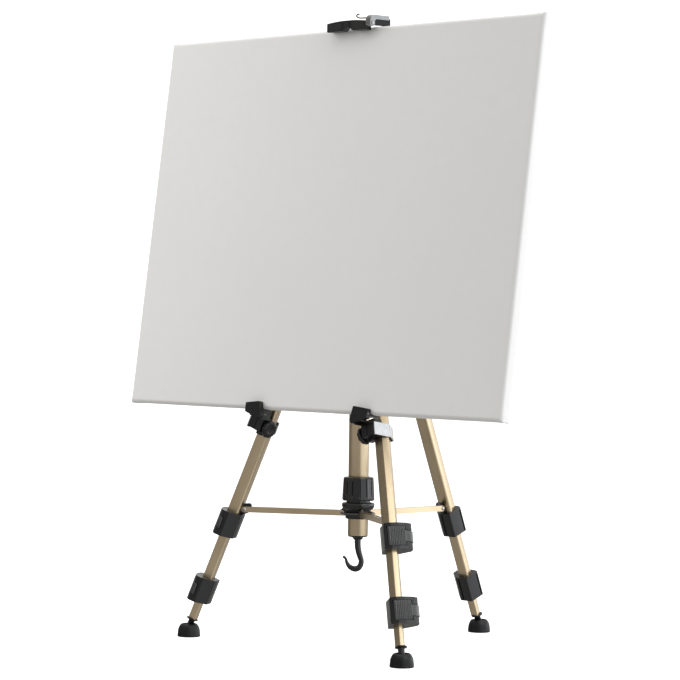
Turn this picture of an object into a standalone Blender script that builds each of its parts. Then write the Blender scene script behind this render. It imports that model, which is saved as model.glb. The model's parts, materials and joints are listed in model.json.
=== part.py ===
"""Folding aluminium tripod easel holding a stretched white canvas board.

Metres, +Z up. The board faces -Y. The column stands at (COLUMN_X, COLUMN_Y).
Three identical legs at 120 degrees hinge on a spider near the top of the column and
are spread by struts from a hub that slides on the column.
"""

import math

import bmesh
import bpy
from mathutils import Vector

MM = 0.001

# The whole object
COLUMN_X = 12.0 * MM            # the board hangs off centre, so the column does too
COLUMN_Y = -57.19 * MM
LEG_AZIMUTH = {"left": -150.0, "right": -30.0, "rear": 90.0}

# Column, mast and hub (heights above the floor)
COLUMN_R = 13.4 * MM
COLUMN_BORE = 11.9 * MM
COLUMN_LOW = 143.4 * MM
COLUMN_TOP = 548.0 * MM
MAST_R = 10.0 * MM
MAST_BORE = 8.8 * MM
MAST_LOW = 330.0 * MM
MAST_TOP = 762.0 * MM
NUT_LOW, NUT_TOP = 189.3 * MM, 220.3 * MM
HUB_PIN_R = 21.5 * MM           # radius of the wire ring that the struts turn on
STRUT_Z = 172.4 * MM            # height of both strut pins at rest
RUN = 0.3 * MM                  # running gap between neighbouring pieces

# Leg hinge and leg line
HINGE_R = 45.0 * MM
HINGE_Z = 491.4 * MM
SPLAY = math.radians(21.4)
PIN_R = 156.0 * MM              # radius of the strut pin on the leg
STRUT = PIN_R - HUB_PIN_R       # strut length, pin to pin

# Stations along the leg, measured down from the hinge
UPPER_TUBE = (14.0 * MM, 370.0 * MM)
UPPER_LOCK = (345.4 * MM, 379.4 * MM)
MID_TUBE = (98.0 * MM, 464.0 * MM)
LOWER_LOCK = (441.0 * MM, 475.0 * MM)
LOWER_TUBE = (166.0 * MM, 500.6 * MM)
BALL = 514.9 * MM
BALL_R = 6.0 * MM
FOOT_R = 15.3 * MM

# Leg tube section: rho points out from the column, tau is tangential
TUBE_OUTER, TUBE_INNER = 8.5 * MM, -8.6 * MM
TUBE_HALF_OUTER, TUBE_HALF_INNER = 4.2 * MM, 11.9 * MM
WALL = 1.2 * MM
STEP = 1.55 * MM                # each tube is this much smaller all round than the one outside it

# Board
BOARD_W, BOARD_H, BOARD_T = 700.0 * MM, 500.0 * MM, 16.0 * MM
BOARD_X = -12.0 * MM            # from the column axis
BOARD_Y, BOARD_Z = -90.5 * MM, 307.7 * MM   # front bottom edge
LEAN = math.radians(7.83)
BAR = 40.0 * MM                 # stretcher bar width
SKIN = 3.0 * MM

# Supports on the two front legs
SUPPORT_Z = 287.0 * MM
LIP_X = (88.8 * MM, 114.7 * MM)
LIP = [(88.5, -13.0), (84.4, -9.0), (88.8, 9.5), (114.7, 7.0), (114.7, -5.0)]   # seen from the front, from the board's edge, mm

# Top clamp
JAW_X = (-36.0 * MM, 37.6 * MM)
JAW_PIN = (-30.5 * MM, 809.5 * MM)   # y, z of the jaw's hinge line
BRACKET_X = (38.1 * MM, 45.4 * MM)
SKIRT = 1.5 * MM


# ---------------------------------------------------------------- scene set-up

for old in list(bpy.data.objects):
    bpy.data.objects.remove(old)

parts = bpy.data.collections.new("tripod_easel")
cutters = bpy.data.collections.new("cutters")
for group in (parts, cutters):
    bpy.context.scene.collection.children.link(group)


def finish(name, colour, roughness, metallic):
    made = bpy.data.materials.new(name)
    made.use_nodes = True
    shader = made.node_tree.nodes["Principled BSDF"]
    shader.inputs["Base Color"].default_value = (*colour, 1.0)
    shader.inputs["Roughness"].default_value = roughness
    shader.inputs["Metallic"].default_value = metallic
    return made


CHAMPAGNE = finish("champagne_anodised", (0.56, 0.46, 0.33), 0.35, 0.9)
BLACK = finish("black_plastic", (0.02, 0.02, 0.022), 0.45, 0.0)
RUBBER = finish("black_rubber", (0.015, 0.015, 0.016), 0.7, 0.0)
STEEL = finish("bright_steel", (0.75, 0.75, 0.76), 0.2, 1.0)
CANVAS = finish("white_canvas", (0.85, 0.85, 0.85), 0.8, 0.0)


def empty(name, location, rotation=(0, 0, 0), parent=None):
    made = bpy.data.objects.new(name, None)
    made.empty_display_size = 0.02
    made.location, made.rotation_euler, made.parent = location, rotation, parent
    parts.objects.link(made)
    return made


def put(name, mesh, material, parent, location=(0, 0, 0), rotation=(0, 0, 0)):
    """A part of the object."""
    made = bpy.data.objects.new(name, mesh)
    if material:
        mesh.materials.append(material)
    made.location, made.rotation_euler, made.parent = location, rotation, parent
    parts.objects.link(made)
    return made


def tool(mesh, parent, location=(0, 0, 0), rotation=(0, 0, 0)):
    """A helper that is cut from a part or joined to it."""
    made = bpy.data.objects.new(mesh.name + "_tool", mesh)
    made.location, made.rotation_euler, made.parent = location, rotation, parent
    made.hide_render = True
    made.display_type = "WIRE"
    cutters.objects.link(made)
    return made


def boolean(target, helper, operation):
    step = target.modifiers.new(operation.lower(), "BOOLEAN")
    step.operation = operation
    step.solver = "EXACT"
    step.object = helper


def cut(target, helper):
    boolean(target, helper, "DIFFERENCE")


def join(target, helper):
    boolean(target, helper, "UNION")


# ---------------------------------------------------------------- outlines

def rounded(points, radii, steps=3):
    """The outline with an arc at each corner."""
    if not isinstance(radii, (list, tuple)):
        radii = [radii] * len(points)
    out = []
    for i, radius in enumerate(radii):
        here = Vector(points[i])
        if radius <= 0:
            out.append(here)
            continue
        back = (Vector(points[i - 1]) - here).normalized()
        ahead = (Vector(points[(i + 1) % len(points)]) - here).normalized()
        half = back.angle(ahead) / 2
        centre = here + (back + ahead).normalized() * (radius / math.sin(half))
        start = here + back * (radius / math.tan(half)) - centre
        end = here + ahead * (radius / math.tan(half)) - centre
        first = math.atan2(start.y, start.x)
        turn = (math.atan2(end.y, end.x) - first + math.pi) % (2 * math.pi) - math.pi
        for k in range(steps + 1):
            angle = first + turn * k / steps
            out.append(centre + Vector((math.cos(angle), math.sin(angle))) * radius)
    return [(p.x, p.y) for p in out]


def circle(radius, centre=(0, 0), steps=24):
    return [
        (centre[0] + radius * math.cos(2 * math.pi * k / steps),
         centre[1] + radius * math.sin(2 * math.pi * k / steps))
        for k in range(steps)
    ]


def box(x0, x1, y0, y1):
    return [(x0, y0), (x1, y0), (x1, y1), (x0, y1)]


def shifted(line, distance):
    """An open line moved sideways, to the right of its direction."""
    out = []
    for i, point in enumerate(line):
        before = Vector(line[max(i - 1, 0)])
        after = Vector(line[min(i + 1, len(line) - 1)])
        along = (after - before).normalized()
        out.append((point[0] + along.y * distance, point[1] - along.x * distance))
    return out


def tube_section(inset):
    """The leg tube's outline, moved inwards: a trapezium with round inner corners."""
    slope = math.atan2(TUBE_HALF_INNER - TUBE_HALF_OUTER, TUBE_OUTER - TUBE_INNER)

    def half(rho):
        line = TUBE_HALF_OUTER + (TUBE_OUTER - rho) * math.tan(slope)
        return line - inset / math.cos(slope)

    outer, inner = TUBE_OUTER - inset, TUBE_INNER + inset
    points = [(outer, -half(outer)), (outer, half(outer)), (inner, half(inner)), (inner, -half(inner))]
    small = max(0.9 * MM - 0.12 * inset, 0.5 * MM)
    large = max(3.2 * MM - 0.6 * inset, 1.0 * MM)
    return rounded(points, [small, small, large, large], 3)


# ---------------------------------------------------------------- solids

def prism(name, outline, low, high, holes=()):
    """A flat outline, with holes, given thickness along Z."""
    curve = bpy.data.curves.new(name, "CURVE")
    curve.dimensions = "2D"
    curve.fill_mode = "BOTH"
    curve.extrude = (high - low) / 2
    for loop in (outline, *holes):
        spline = curve.splines.new("POLY")
        spline.points.add(len(loop) - 1)
        for point, (x, y) in zip(spline.points, loop):
            point.co = (x, y, 0, 1)
        spline.use_cyclic_u = True
    guide = bpy.data.objects.new(name, curve)
    bpy.context.scene.collection.objects.link(guide)
    bpy.context.view_layer.update()
    graph = bpy.context.evaluated_depsgraph_get()
    mesh = bpy.data.meshes.new_from_object(guide.evaluated_get(graph))
    bpy.data.objects.remove(guide)
    mesh.name = name
    edit = bmesh.new()
    edit.from_mesh(mesh)
    bmesh.ops.remove_doubles(edit, verts=edit.verts, dist=1e-6)
    bmesh.ops.translate(edit, verts=edit.verts, vec=(0, 0, (high + low) / 2))
    bmesh.ops.recalc_face_normals(edit, faces=edit.faces)
    edit.to_mesh(mesh)
    edit.free()
    return mesh


def turned(target, steps=32):
    """Turns the object's profile about its Z axis."""
    screw = target.modifiers.new("turn", "SCREW")
    screw.steps = screw.render_steps = steps
    screw.use_merge_vertices = True
    screw.merge_threshold = 1e-5
    screw.use_smooth_shade = True
    return target


def profile(name, points, ring=False):
    """Radius and height pairs, down the outer side; a ring's profile closes on itself."""
    mesh = bpy.data.meshes.new(name)
    edit = bmesh.new()
    verts = [edit.verts.new((r, 0, z)) for r, z in points]
    for a, b in zip(verts, verts[1:] + (verts[:1] if ring else [])):
        edit.edges.new((a, b))
    edit.to_mesh(mesh)
    edit.free()
    return mesh


def wire(name, points, radii, material, parent, location=(0, 0, 0), rotation=(0, 0, 0), sides=2):
    """A round bar along a line, thicker or thinner point by point."""
    curve = bpy.data.curves.new(name, "CURVE")
    curve.dimensions = "3D"
    curve.bevel_depth = 1.0
    curve.bevel_resolution = sides
    curve.use_fill_caps = True
    spline = curve.splines.new("POLY")
    spline.points.add(len(points) - 1)
    for point, place, radius in zip(spline.points, points, radii):
        point.co = (*place, 1)
        point.radius = radius
    curve.materials.append(material)
    made = bpy.data.objects.new(name, curve)
    made.location, made.rotation_euler, made.parent = location, rotation, parent
    parts.objects.link(made)
    return made


def smooth_line(points, between=4):
    """Catmull-Rom points through the given ones."""
    out = []
    for i in range(len(points) - 1):
        p0, p1, p2, p3 = (Vector(points[min(max(i + k, 0), len(points) - 1)]) for k in (-1, 0, 1, 2))
        for k in range(between):
            t = k / between
            out.append(
                0.5 * (2 * p1 + (p2 - p0) * t + (2 * p0 - 5 * p1 + 4 * p2 - p3) * t ** 2
                       + (3 * p1 - p0 - 3 * p2 + p3) * t ** 3)
            )
    out.append(Vector(points[-1]))
    return out


UPRIGHT = (math.pi / 2, 0, 0)     # lays a flat outline into the plane of X and Z

origin = empty("easel_axis", (COLUMN_X, COLUMN_Y, 0))


# ---------------------------------------------------------------- column and mast

turned(put("column_tube", profile("column_tube", [
    (COLUMN_R, COLUMN_TOP), (COLUMN_R, COLUMN_LOW), (COLUMN_BORE, COLUMN_LOW), (COLUMN_BORE, COLUMN_TOP),
], ring=True), CHAMPAGNE, origin))

turned(put("column_end_plug", profile("column_end_plug", [
    (COLUMN_BORE - RUN, COLUMN_LOW + 12 * MM), (COLUMN_BORE - RUN, COLUMN_LOW - RUN),
    (COLUMN_R - 0.6 * MM, COLUMN_LOW - RUN), (COLUMN_R - 0.6 * MM, COLUMN_LOW - 1.6 * MM),
    (7.2 * MM, COLUMN_LOW - 2.4 * MM), (5.6 * MM, COLUMN_LOW - 5.2 * MM), (4.7 * MM, COLUMN_LOW - 5.2 * MM),
    (4.7 * MM, COLUMN_LOW + 12 * MM),
], ring=True), BLACK, origin))

# The hook hangs in the plug and swivels in it
hook_line = smooth_line([
    (0, 0, 152), (0, 0, 142), (0, 0, 133), (0.5, 0, 127), (1.7, 0, 121), (3.4, 0, 115.6), (4.9, 0, 110.7),
    (4.6, 0, 106), (2.4, 0, 101.6), (-1.8, 0, 99.4), (-6, 0, 99.8), (-9.8, 0, 101.9), (-12.7, 0, 105.3),
    (-14.2, 0, 108.6), (-15.2, 0, 112), (-16.9, 0, 114.2), (-18.7, 0, 115.1),
], 2)
hook_radius = smooth_line([
    (r, 0, 0) for r in (4.3, 4.3, 4.2, 4.1, 4.0, 3.8, 3.6, 3.6, 3.8, 4.0, 3.7, 3.2, 2.6, 2.1, 1.8, 1.8, 1.9)
], 2)
wire("weight_hook", [p * MM for p in hook_line], [p.x * MM for p in hook_radius], BLACK, origin,
     rotation=(0, 0, math.radians(46)), sides=3)

turned(put("mast_tube", profile("mast_tube", [
    (MAST_R, MAST_TOP), (MAST_R, MAST_LOW), (MAST_BORE, MAST_LOW), (MAST_BORE, MAST_TOP),
], ring=True), CHAMPAGNE, origin))

collar = turned(put("mast_lock_collar", profile("mast_lock_collar", [
    (14.5 * MM, 576 * MM), (17.5 * MM, 573 * MM), (18.5 * MM, 566 * MM), (18.5 * MM, 532 * MM),
    (17.0 * MM, 529 * MM), (COLUMN_R + RUN, 529 * MM), (COLUMN_R + RUN, COLUMN_TOP + RUN),
    (MAST_R + RUN, COLUMN_TOP + RUN), (MAST_R + RUN, 576 * MM),
], ring=True), BLACK, origin))
cut(collar, tool(prism("collar_screw_hole", circle(2.8 * MM, steps=16), 5 * MM, 40 * MM), origin,
                 (0, 0, 561 * MM), (-math.pi / 2, 0, 0)))

turned(put("mast_lock_knob", profile("mast_lock_knob", [
    (0, 38 * MM), (8.5 * MM, 38 * MM), (11 * MM, 36 * MM), (11 * MM, 26 * MM), (9 * MM, 24.2 * MM),
    (5.5 * MM, 24.2 * MM), (5.5 * MM, 19.2 * MM), (2.5 * MM, 19.2 * MM), (2.5 * MM, 10.4 * MM), (0, 10.4 * MM),
]), BLACK, origin, (0, 0, 561 * MM), (-math.pi / 2, 0, 0)), 24)


# ---------------------------------------------------------------- spider and leg bolts

spider = turned(put("spider", profile("spider", [
    (20.5 * MM, HINGE_Z + 13 * MM), (21.5 * MM, HINGE_Z + 12 * MM), (21.5 * MM, HINGE_Z - 16 * MM),
    (20.0 * MM, HINGE_Z - 18 * MM), (COLUMN_R + RUN, HINGE_Z - 18 * MM), (COLUMN_R + RUN, HINGE_Z + 13 * MM),
], ring=True), BLACK, origin))

CHEEK_OUT, CHEEK_IN = 8.4 * MM, 4.4 * MM
for side, azimuth in LEG_AZIMUTH.items():
    turn = math.radians(azimuth)
    arm = rounded([(17 * MM, HINGE_Z - 12 * MM), (HINGE_R + 4 * MM, HINGE_Z - 9 * MM),
                   (HINGE_R + 8 * MM, HINGE_Z), (HINGE_R + 4 * MM, HINGE_Z + 8.5 * MM),
                   (17 * MM, HINGE_Z + 9 * MM)], [0, 4 * MM, 4 * MM, 4 * MM, 0])
    for hand in (-1, 1):
        near, far = sorted((hand * CHEEK_IN, hand * CHEEK_OUT))
        cheek = prism(f"cheek_{side}_{hand}", arm, near, far, [circle(2.8 * MM, (HINGE_R, HINGE_Z), 16)])
        join(spider, tool(cheek, origin, rotation=(math.pi / 2, 0, turn)))

    axis = Vector((HINGE_R * math.cos(turn), HINGE_R * math.sin(turn), HINGE_Z))
    bolt = put(f"leg_bolt_{side}", profile(f"leg_bolt_{side}", [
        (0, 12.2 * MM), (3.6 * MM, 12.2 * MM), (4.4 * MM, 11.2 * MM), (4.4 * MM, 8.7 * MM), (2.5 * MM, 8.7 * MM),
        (2.5 * MM, -8.7 * MM), (4.2 * MM, -8.7 * MM), (4.2 * MM, -11.6 * MM), (0, -11.6 * MM),
    ]), STEEL, origin, axis, (math.pi / 2, 0, turn))
    turned(bolt, 16)


# ---------------------------------------------------------------- spreader hub, ring, nut, struts

hub = turned(put("spreader_hub", profile("spreader_hub", [
    (20.3 * MM, 188.8 * MM), (21.5 * MM, 187.6 * MM), (21.5 * MM, 178.6 * MM), (20.3 * MM, 177.2 * MM),
    (16.8 * MM, 177.2 * MM), (16.8 * MM, 166.6 * MM), (15.8 * MM, 165.4 * MM), (COLUMN_R + RUN, 165.4 * MM),
    (COLUMN_R + RUN, 188.8 * MM),
], ring=True), BLACK, origin))
TONGUE = 1.7 * MM
tongue = rounded([(15.5 * MM, 168.6 * MM), (23 * MM, 168.6 * MM), (25.3 * MM, 171 * MM),
                  (25.3 * MM, 174.6 * MM), (21.4 * MM, 178.4 * MM), (15.5 * MM, 178.4 * MM)], [0, 1.5 * MM, 1.5 * MM, 1.5 * MM, 0, 0])
for side, azimuth in LEG_AZIMUTH.items():
    join(hub, tool(prism(f"tongue_{side}", tongue, -TONGUE, TONGUE,
                         [circle(1.8 * MM, (HUB_PIN_R, STRUT_Z), 12)]),
                   origin, rotation=(math.pi / 2, 0, math.radians(azimuth))))

turned(put("hub_ring", profile("hub_ring", [
    (HUB_PIN_R + r, STRUT_Z - z) for r, z in circle(1.1 * MM, steps=8)
], ring=True), STEEL, origin), 36)

turned(put("clamp_nut", profile("clamp_nut", [
    (18.6 * MM, NUT_TOP), (20.0 * MM, NUT_TOP - 1.6 * MM), (21.4 * MM, NUT_LOW + 3 * MM),
    (20.6 * MM, NUT_LOW), (COLUMN_R + RUN, NUT_LOW), (COLUMN_R + RUN, NUT_TOP),
], ring=True), BLACK, origin), 36)

HALF = 3.8 * MM
CHANNEL = 2.1 * MM
LOOSE = 13.5 * MM
for side, azimuth in LEG_AZIMUTH.items():
    turn = math.radians(azimuth)
    pivot = empty(f"strut_axis_{side}", (HUB_PIN_R * math.cos(turn), HUB_PIN_R * math.sin(turn), STRUT_Z),
                  (0, 0, turn), origin)
    ends = [(-HALF, -HALF), (STRUT + HALF, -HALF), (STRUT + HALF, HALF), (-HALF, HALF)]
    strut = put(f"strut_{side}", prism(f"strut_{side}", rounded(ends, HALF * 0.999, 5), -3.5 * MM, 3.5 * MM,
                                       [circle(1.8 * MM, (0, 0), 12), circle(1.8 * MM, (STRUT, 0), 12)]),
                CHAMPAGNE, pivot, rotation=UPRIGHT)
    web = -HALF + 1.4 * MM
    groove = [(-20 * MM, -20 * MM), (LOOSE, -20 * MM), (LOOSE, web), (STRUT - LOOSE, web),
              (STRUT - LOOSE, -20 * MM), (STRUT + 20 * MM, -20 * MM), (STRUT + 20 * MM, 20 * MM), (-20 * MM, 20 * MM)]
    cut(strut, tool(prism(f"groove_{side}", groove, -CHANNEL, CHANNEL), pivot, rotation=UPRIGHT))


# ---------------------------------------------------------------- legs

def along_leg(r, z):
    """Radius and height in the leg's plane, as rho and station down from the hinge."""
    out, down = r - HINGE_R, HINGE_Z - z
    return (out * math.cos(SPLAY) - down * math.sin(SPLAY), out * math.sin(SPLAY) + down * math.cos(SPLAY))


PIN_RHO, PIN_STATION = along_leg(PIN_R, STRUT_Z)

# Lock body and lever outlines, seen down the leg
LOCK = [(-13.5, -11.8), (11, -11.8), (14.0, -4), (14.6, 6), (13.0, 17), (8.5, 24.5), (-1, 24), (-13.5, 8.5)]
LOCK_ROUND = [2.5, 3.0, 2.0, 3.0, 3.0, 3.0, 4.0, 4.0]
LEVER = [(13.2, -8.4), (14.5, -3), (15.2, 4), (14.5, 11), (12.9, 17.3), (10.2, 22.4), (7.0, 25.4)]
LEVER_PIN = (11.7 * MM, -6.6 * MM)
LEVER_HALF = 12.5 * MM
lever_out = [(x * MM, y * MM) for x, y in LEVER]
lever_in = shifted(lever_out, -3.0 * MM)
pocket_in = shifted(lever_out, -3.5 * MM)
pocket_in[0] = (7.6 * MM, -9.7 * MM)
pocket_in[1] = (8.6 * MM, -4.0 * MM)
WIDE_END = 15.6 * MM            # the pocket is narrower beyond this, for the lever's tab
TAB_HALF = 7.4 * MM
wide = [point for point in pocket_in if point[1] < WIDE_END - 1 * MM]
last, following = wide[-1], pocket_in[len(wide)]
share = (WIDE_END - last[1]) / (following[1] - last[1])
wide.append((last[0] + (following[0] - last[0]) * share, WIDE_END))
WIDE_POCKET = wide + [(40 * MM, WIDE_END), (40 * MM, -9.7 * MM)]
TAB_POCKET = shifted(lever_out, -3.7 * MM)[3:]
TAB_POCKET.append((TAB_POCKET[-1][0] - 6 * MM, TAB_POCKET[-1][1] + 5.6 * MM))
TAB_POCKET += [(40 * MM, 34 * MM), (40 * MM, TAB_POCKET[0][1] + 1 * MM)]
LEVER_BAND = lever_out[:4] + lever_in[:4][::-1]
TAB_BAND = lever_out[2:] + lever_in[2:][::-1]

for side, azimuth in LEG_AZIMUTH.items():
    turn = math.radians(azimuth)
    leg = empty(f"leg_axis_{side}", (PIN_R * math.cos(turn), PIN_R * math.sin(turn), STRUT_Z),
                (0, -SPLAY, turn), origin)

    def at(rho=0.0, tau=0.0, station=0.0):
        return (rho - PIN_RHO, tau, PIN_STATION - station)

    # Knuckle: a plug in the tube with a tab whose open slot sits on the leg bolt
    knuckle = put(f"leg_knuckle_{side}", prism(f"leg_knuckle_{side}", tube_section(WALL + RUN), -34 * MM, -12 * MM),
                  BLACK, leg, at())
    join(knuckle, tool(prism(f"shoulder_{side}", tube_section(0.2 * MM), -UPPER_TUBE[0] + RUN, -10.5 * MM), leg, at()))
    tab = rounded([(-8 * MM, -11.5 * MM), (8 * MM, -11.5 * MM), (8 * MM, 8 * MM), (-8 * MM, 8 * MM)],
                  [0, 0, 7.9 * MM, 7.9 * MM], 5)
    join(knuckle, tool(prism(f"tab_{side}", tab, -4.0 * MM, 4.0 * MM), leg, at(), UPRIGHT))
    arc = [(2.8 * MM * math.cos(a), 2.8 * MM * math.sin(a))
           for a in (math.radians(225 + 18 * k) for k in range(11))]
    # along the slot the bolt leaves up and inwards; "wide" is the room it needs to either side
    out_dir, cross = Vector((-0.7071, 0.7071)), Vector((0.7071, 0.7071))
    mouth = [out_dir * (d * MM) + cross * (w * MM) for d, w in ((8, 4.4), (34, 5.2), (34, -3.8), (8, -3.3))]
    slot = arc + [(p.x, p.y) for p in mouth]
    cut(knuckle, tool(prism(f"slot_{side}", slot, -10 * MM, 10 * MM), leg, at(), UPRIGHT))

    # Tubes
    for name, inset, (top, low) in (("upper_tube", 0.0, UPPER_TUBE), ("mid_tube", STEP, MID_TUBE),
                                    ("lower_tube", 2 * STEP, LOWER_TUBE)):
        put(f"{name}_{side}", prism(f"{name}_{side}", tube_section(inset), -low, -top, [tube_section(inset + WALL)]),
            CHAMPAGNE, leg, at())

    # Flip locks
    for name, (top, low), inset in (("upper", UPPER_LOCK, 0.0), ("lower", LOWER_LOCK, STEP)):
        middle, half = (top + low) / 2, (low - top) / 2
        outline = rounded([(x * MM, y * MM) for x, y in LOCK], [r * MM for r in LOCK_ROUND], 3)
        body = put(f"{name}_lock_body_{side}",
                   prism(f"{name}_lock_body_{side}", outline, -half, half, [tube_section(inset + STEP - RUN)]),
                   BLACK, leg, at(station=middle))
        seat = {"upper": UPPER_TUBE[1], "lower": MID_TUBE[1]}[name]
        cut(body, tool(prism(f"{name}_seat_{side}", tube_section(inset - RUN), middle - seat - RUN, half + 5 * MM),
                       leg, at(station=middle)))
        for label, room, half_room in (("wide", WIDE_POCKET, LEVER_HALF + 0.4 * MM), ("tab", TAB_POCKET, TAB_HALF + 0.5 * MM)):
            cut(body, tool(prism(f"{name}_{label}_pocket_{side}", room, -half_room, half_room), leg, at(station=middle)))
        if name == "upper":
            # tongue that carries the strut pin, inside the strut's channel
            lug = [(4.0, -9.5), (4.0, 6.0), (3.2, 7.3), (-3.4, 10.4), (-6.0, 9.3), (-8.0, 4.2), (-5.5, -3.0),
                   (-0.2, -7.6), (-0.2, -9.5)]
            mesh = prism(f"lug_{side}", rounded([(x * MM, y * MM) for x, y in lug],
                                                [0, 1 * MM, 1 * MM, 1.5 * MM, 1.5 * MM, 2 * MM, 2 * MM, 0, 0], 2),
                         -TONGUE, TONGUE, [circle(1.8 * MM, steps=12)])
            join(body, tool(mesh, leg, (0, 0, 0), UPRIGHT))
        band, tab = ([(x - LEVER_PIN[0], y - LEVER_PIN[1]) for x, y in line] for line in (LEVER_BAND, TAB_BAND))
        place = at(*LEVER_PIN, middle)
        lever = put(f"{name}_lock_lever_{side}", prism(f"{name}_lock_lever_{side}", band, -LEVER_HALF, LEVER_HALF),
                    BLACK, leg, place)
        join(lever, tool(prism(f"{name}_tab_{side}", tab, -TAB_HALF, TAB_HALF), leg, place))

    turned(put(f"strut_pin_{side}", profile(f"strut_pin_{side}", [
        (0, 4.7 * MM), (1.8 * MM, 4.7 * MM), (2.7 * MM, 3.8 * MM), (1.5 * MM, 3.8 * MM), (1.5 * MM, -3.8 * MM),
        (2.7 * MM, -3.8 * MM), (1.8 * MM, -4.7 * MM), (0, -4.7 * MM),
    ]), STEEL, leg, (0, 0, 0), UPRIGHT), 12)

    # Ball stud and foot
    neck = BALL - LOWER_TUBE[1]
    sphere = [(BALL_R * math.cos(a), BALL_R * math.sin(a)) for a in (math.radians(45.5 - 19.36 * k) for k in range(8))]
    turned(put(f"foot_stud_{side}", profile(f"foot_stud_{side}", [
        (0, neck + 16 * MM), (2.6 * MM, neck + 16 * MM), (2.6 * MM, neck - RUN), (7.8 * MM, neck - RUN),
        (7.8 * MM, neck - 2.4 * MM), (4.2 * MM, neck - 3.0 * MM), *sphere[:-1], (0, -BALL_R),
    ]), BLACK, leg, at(station=BALL), (0, 0, 0)), 20)

    ball_z = HINGE_Z - BALL * math.cos(SPLAY)
    cup = BALL_R + RUN
    socket = [(cup * math.cos(a), cup * math.sin(a)) for a in (math.radians(-90 + 99 * k / 6) for k in range(7))]
    socket[0] = (0, -cup)
    # open bell: the mouth lets the ball's neck tilt
    bell = [(9.0, 5.0), (9.6, 5.4), (10.3, 5.0), (11.6, 3.8), (12.9, 1.9), (13.9, -0.3), (14.6, -2.8), (15.1, -7.6)]
    turned(put(f"foot_{side}", profile(f"foot_{side}", socket + [(r * MM, z * MM) for r, z in bell] + [
        (FOOT_R, 2.0 * MM - ball_z), (FOOT_R, 0.5 * MM - ball_z), (FOOT_R - 0.5 * MM, -ball_z), (0, -ball_z),
    ]), RUBBER, leg, at(station=BALL), (0, SPLAY, 0)), 28)


# ---------------------------------------------------------------- board

board_frame = empty("board_edge", (BOARD_X, BOARD_Y, BOARD_Z), (-LEAN, 0, 0), origin)
board = put("canvas_board", prism("canvas_board", box(-BOARD_W / 2, BOARD_W / 2, 0, BOARD_H), -BOARD_T, 0),
            CANVAS, board_frame, rotation=UPRIGHT)
recess = prism("recess", box(-BOARD_W / 2 + BAR, BOARD_W / 2 - BAR, BAR, BOARD_H - BAR), -BOARD_T - 10 * MM, -SKIN)
cut(board, tool(recess, board_frame, rotation=UPRIGHT))
edge = board.modifiers.new("soft edge", "BEVEL")
edge.width = 1.2 * MM
edge.segments = 2
edge.limit_method = "ANGLE"


# ---------------------------------------------------------------- supports

# Strap: a band from the block along the outer side and round the back of the leg, open where the folded strut lies
STRAP_T = 1.6 * MM
STRAP = [(25.3, -10.8), (-2.6, -10.8), (-17.2, 0.4), (-13.4, 5.4)]
lip_frame = empty("lip_edge", (0, BOARD_Y, BOARD_Z), (-LEAN, 0, 0), origin)
for side, hand in (("left", -1), ("right", 1)):
    turn = math.radians(LEG_AZIMUTH[side])
    station = (HINGE_Z - SUPPORT_Z) / math.cos(SPLAY)
    # frame on the leg: X forward, Z up the leg
    yaw = -hand * math.atan2(math.cos(math.radians(30)), math.sin(math.radians(30)) * math.cos(SPLAY))
    r = HINGE_R + station * math.sin(SPLAY)
    clamp = empty(f"support_axis_{side}", (r * math.cos(turn), r * math.sin(turn), SUPPORT_Z), (0, -SPLAY, turn), origin)
    facing = empty(f"support_front_{side}", (0, 0, 0), (0, 0, yaw), clamp)

    def inward(points):
        """Forward and inward distances in millimetres, as X and Y of the support's frame."""
        return [(x * MM, -hand * y * MM) for x, y in points]

    def band(points, half):
        """A line of forward and inward distances, with round bends, given thickness to both sides."""
        line = rounded(inward(points), [0, 8.0 * MM, 2.4 * MM, 0], 4)
        return shifted(line, half) + shifted(line, -half)[::-1]

    put(f"support_strap_{side}", prism(f"support_strap_{side}", band(STRAP, STRAP_T / 2), -12 * MM, 5 * MM), STEEL, facing)

    body = put(f"support_body_{side}", prism(f"support_body_{side}",
               rounded(inward(box(9.2, 25.5, -9.6, 13.7)), 1.5 * MM, 2), -10.5 * MM, 9 * MM), BLACK, facing)
    join(body, tool(prism(f"toe_{side}", inward(box(9.8, 17.5, 1, 10.5)), -15.5 * MM, -10 * MM), facing))
    near, far = sorted((hand * LIP_X[0], hand * LIP_X[1]))
    ledge = prism(f"ledge_{side}", box(-7.6 * MM, 15.0 * MM, -9.5 * MM, -0.4 * MM), near, far)
    # outline of the ledge is in the board's section plane, so its Z runs along X
    join(body, tool(ledge, lip_frame, rotation=(math.pi / 2, 0, math.pi / 2)))
    lip = rounded([(hand * x * MM, z * MM) for x, z in LIP], 1.2 * MM, 2)
    join(body, tool(prism(f"lip_{side}", lip, 1.2 * MM, 7.8 * MM), lip_frame, rotation=UPRIGHT))
    shank = 2.5 * MM
    knob_place = (14.5 * MM, -hand * 6.0 * MM, -3.5 * MM)
    hole = tool(prism(f"knob_hole_{side}", circle(shank + RUN, steps=16), 0.8 * MM, 30 * MM), facing,
                knob_place, (hand * math.pi / 2, 0, 0))
    cut(body, hole)
    turned(put(f"support_knob_{side}", profile(f"support_knob_{side}", [
        (0, 16.2 * MM), (9.4 * MM, 16.2 * MM), (11.8 * MM, 14.7 * MM), (11.8 * MM, 12 * MM), (10.2 * MM, 10.5 * MM),
        (shank, 10.5 * MM), (shank, 1.4 * MM), (0, 1.4 * MM),
    ]), BLACK, facing, knob_place, (hand * math.pi / 2, 0, 0)), 24)


# ---------------------------------------------------------------- top clamp

def board_back(z, gap):
    """y of the board's back face at a height, plus a gap."""
    return BOARD_Y + BOARD_T / math.cos(LEAN) + (z - BOARD_Z) * math.tan(LEAN) + gap


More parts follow.
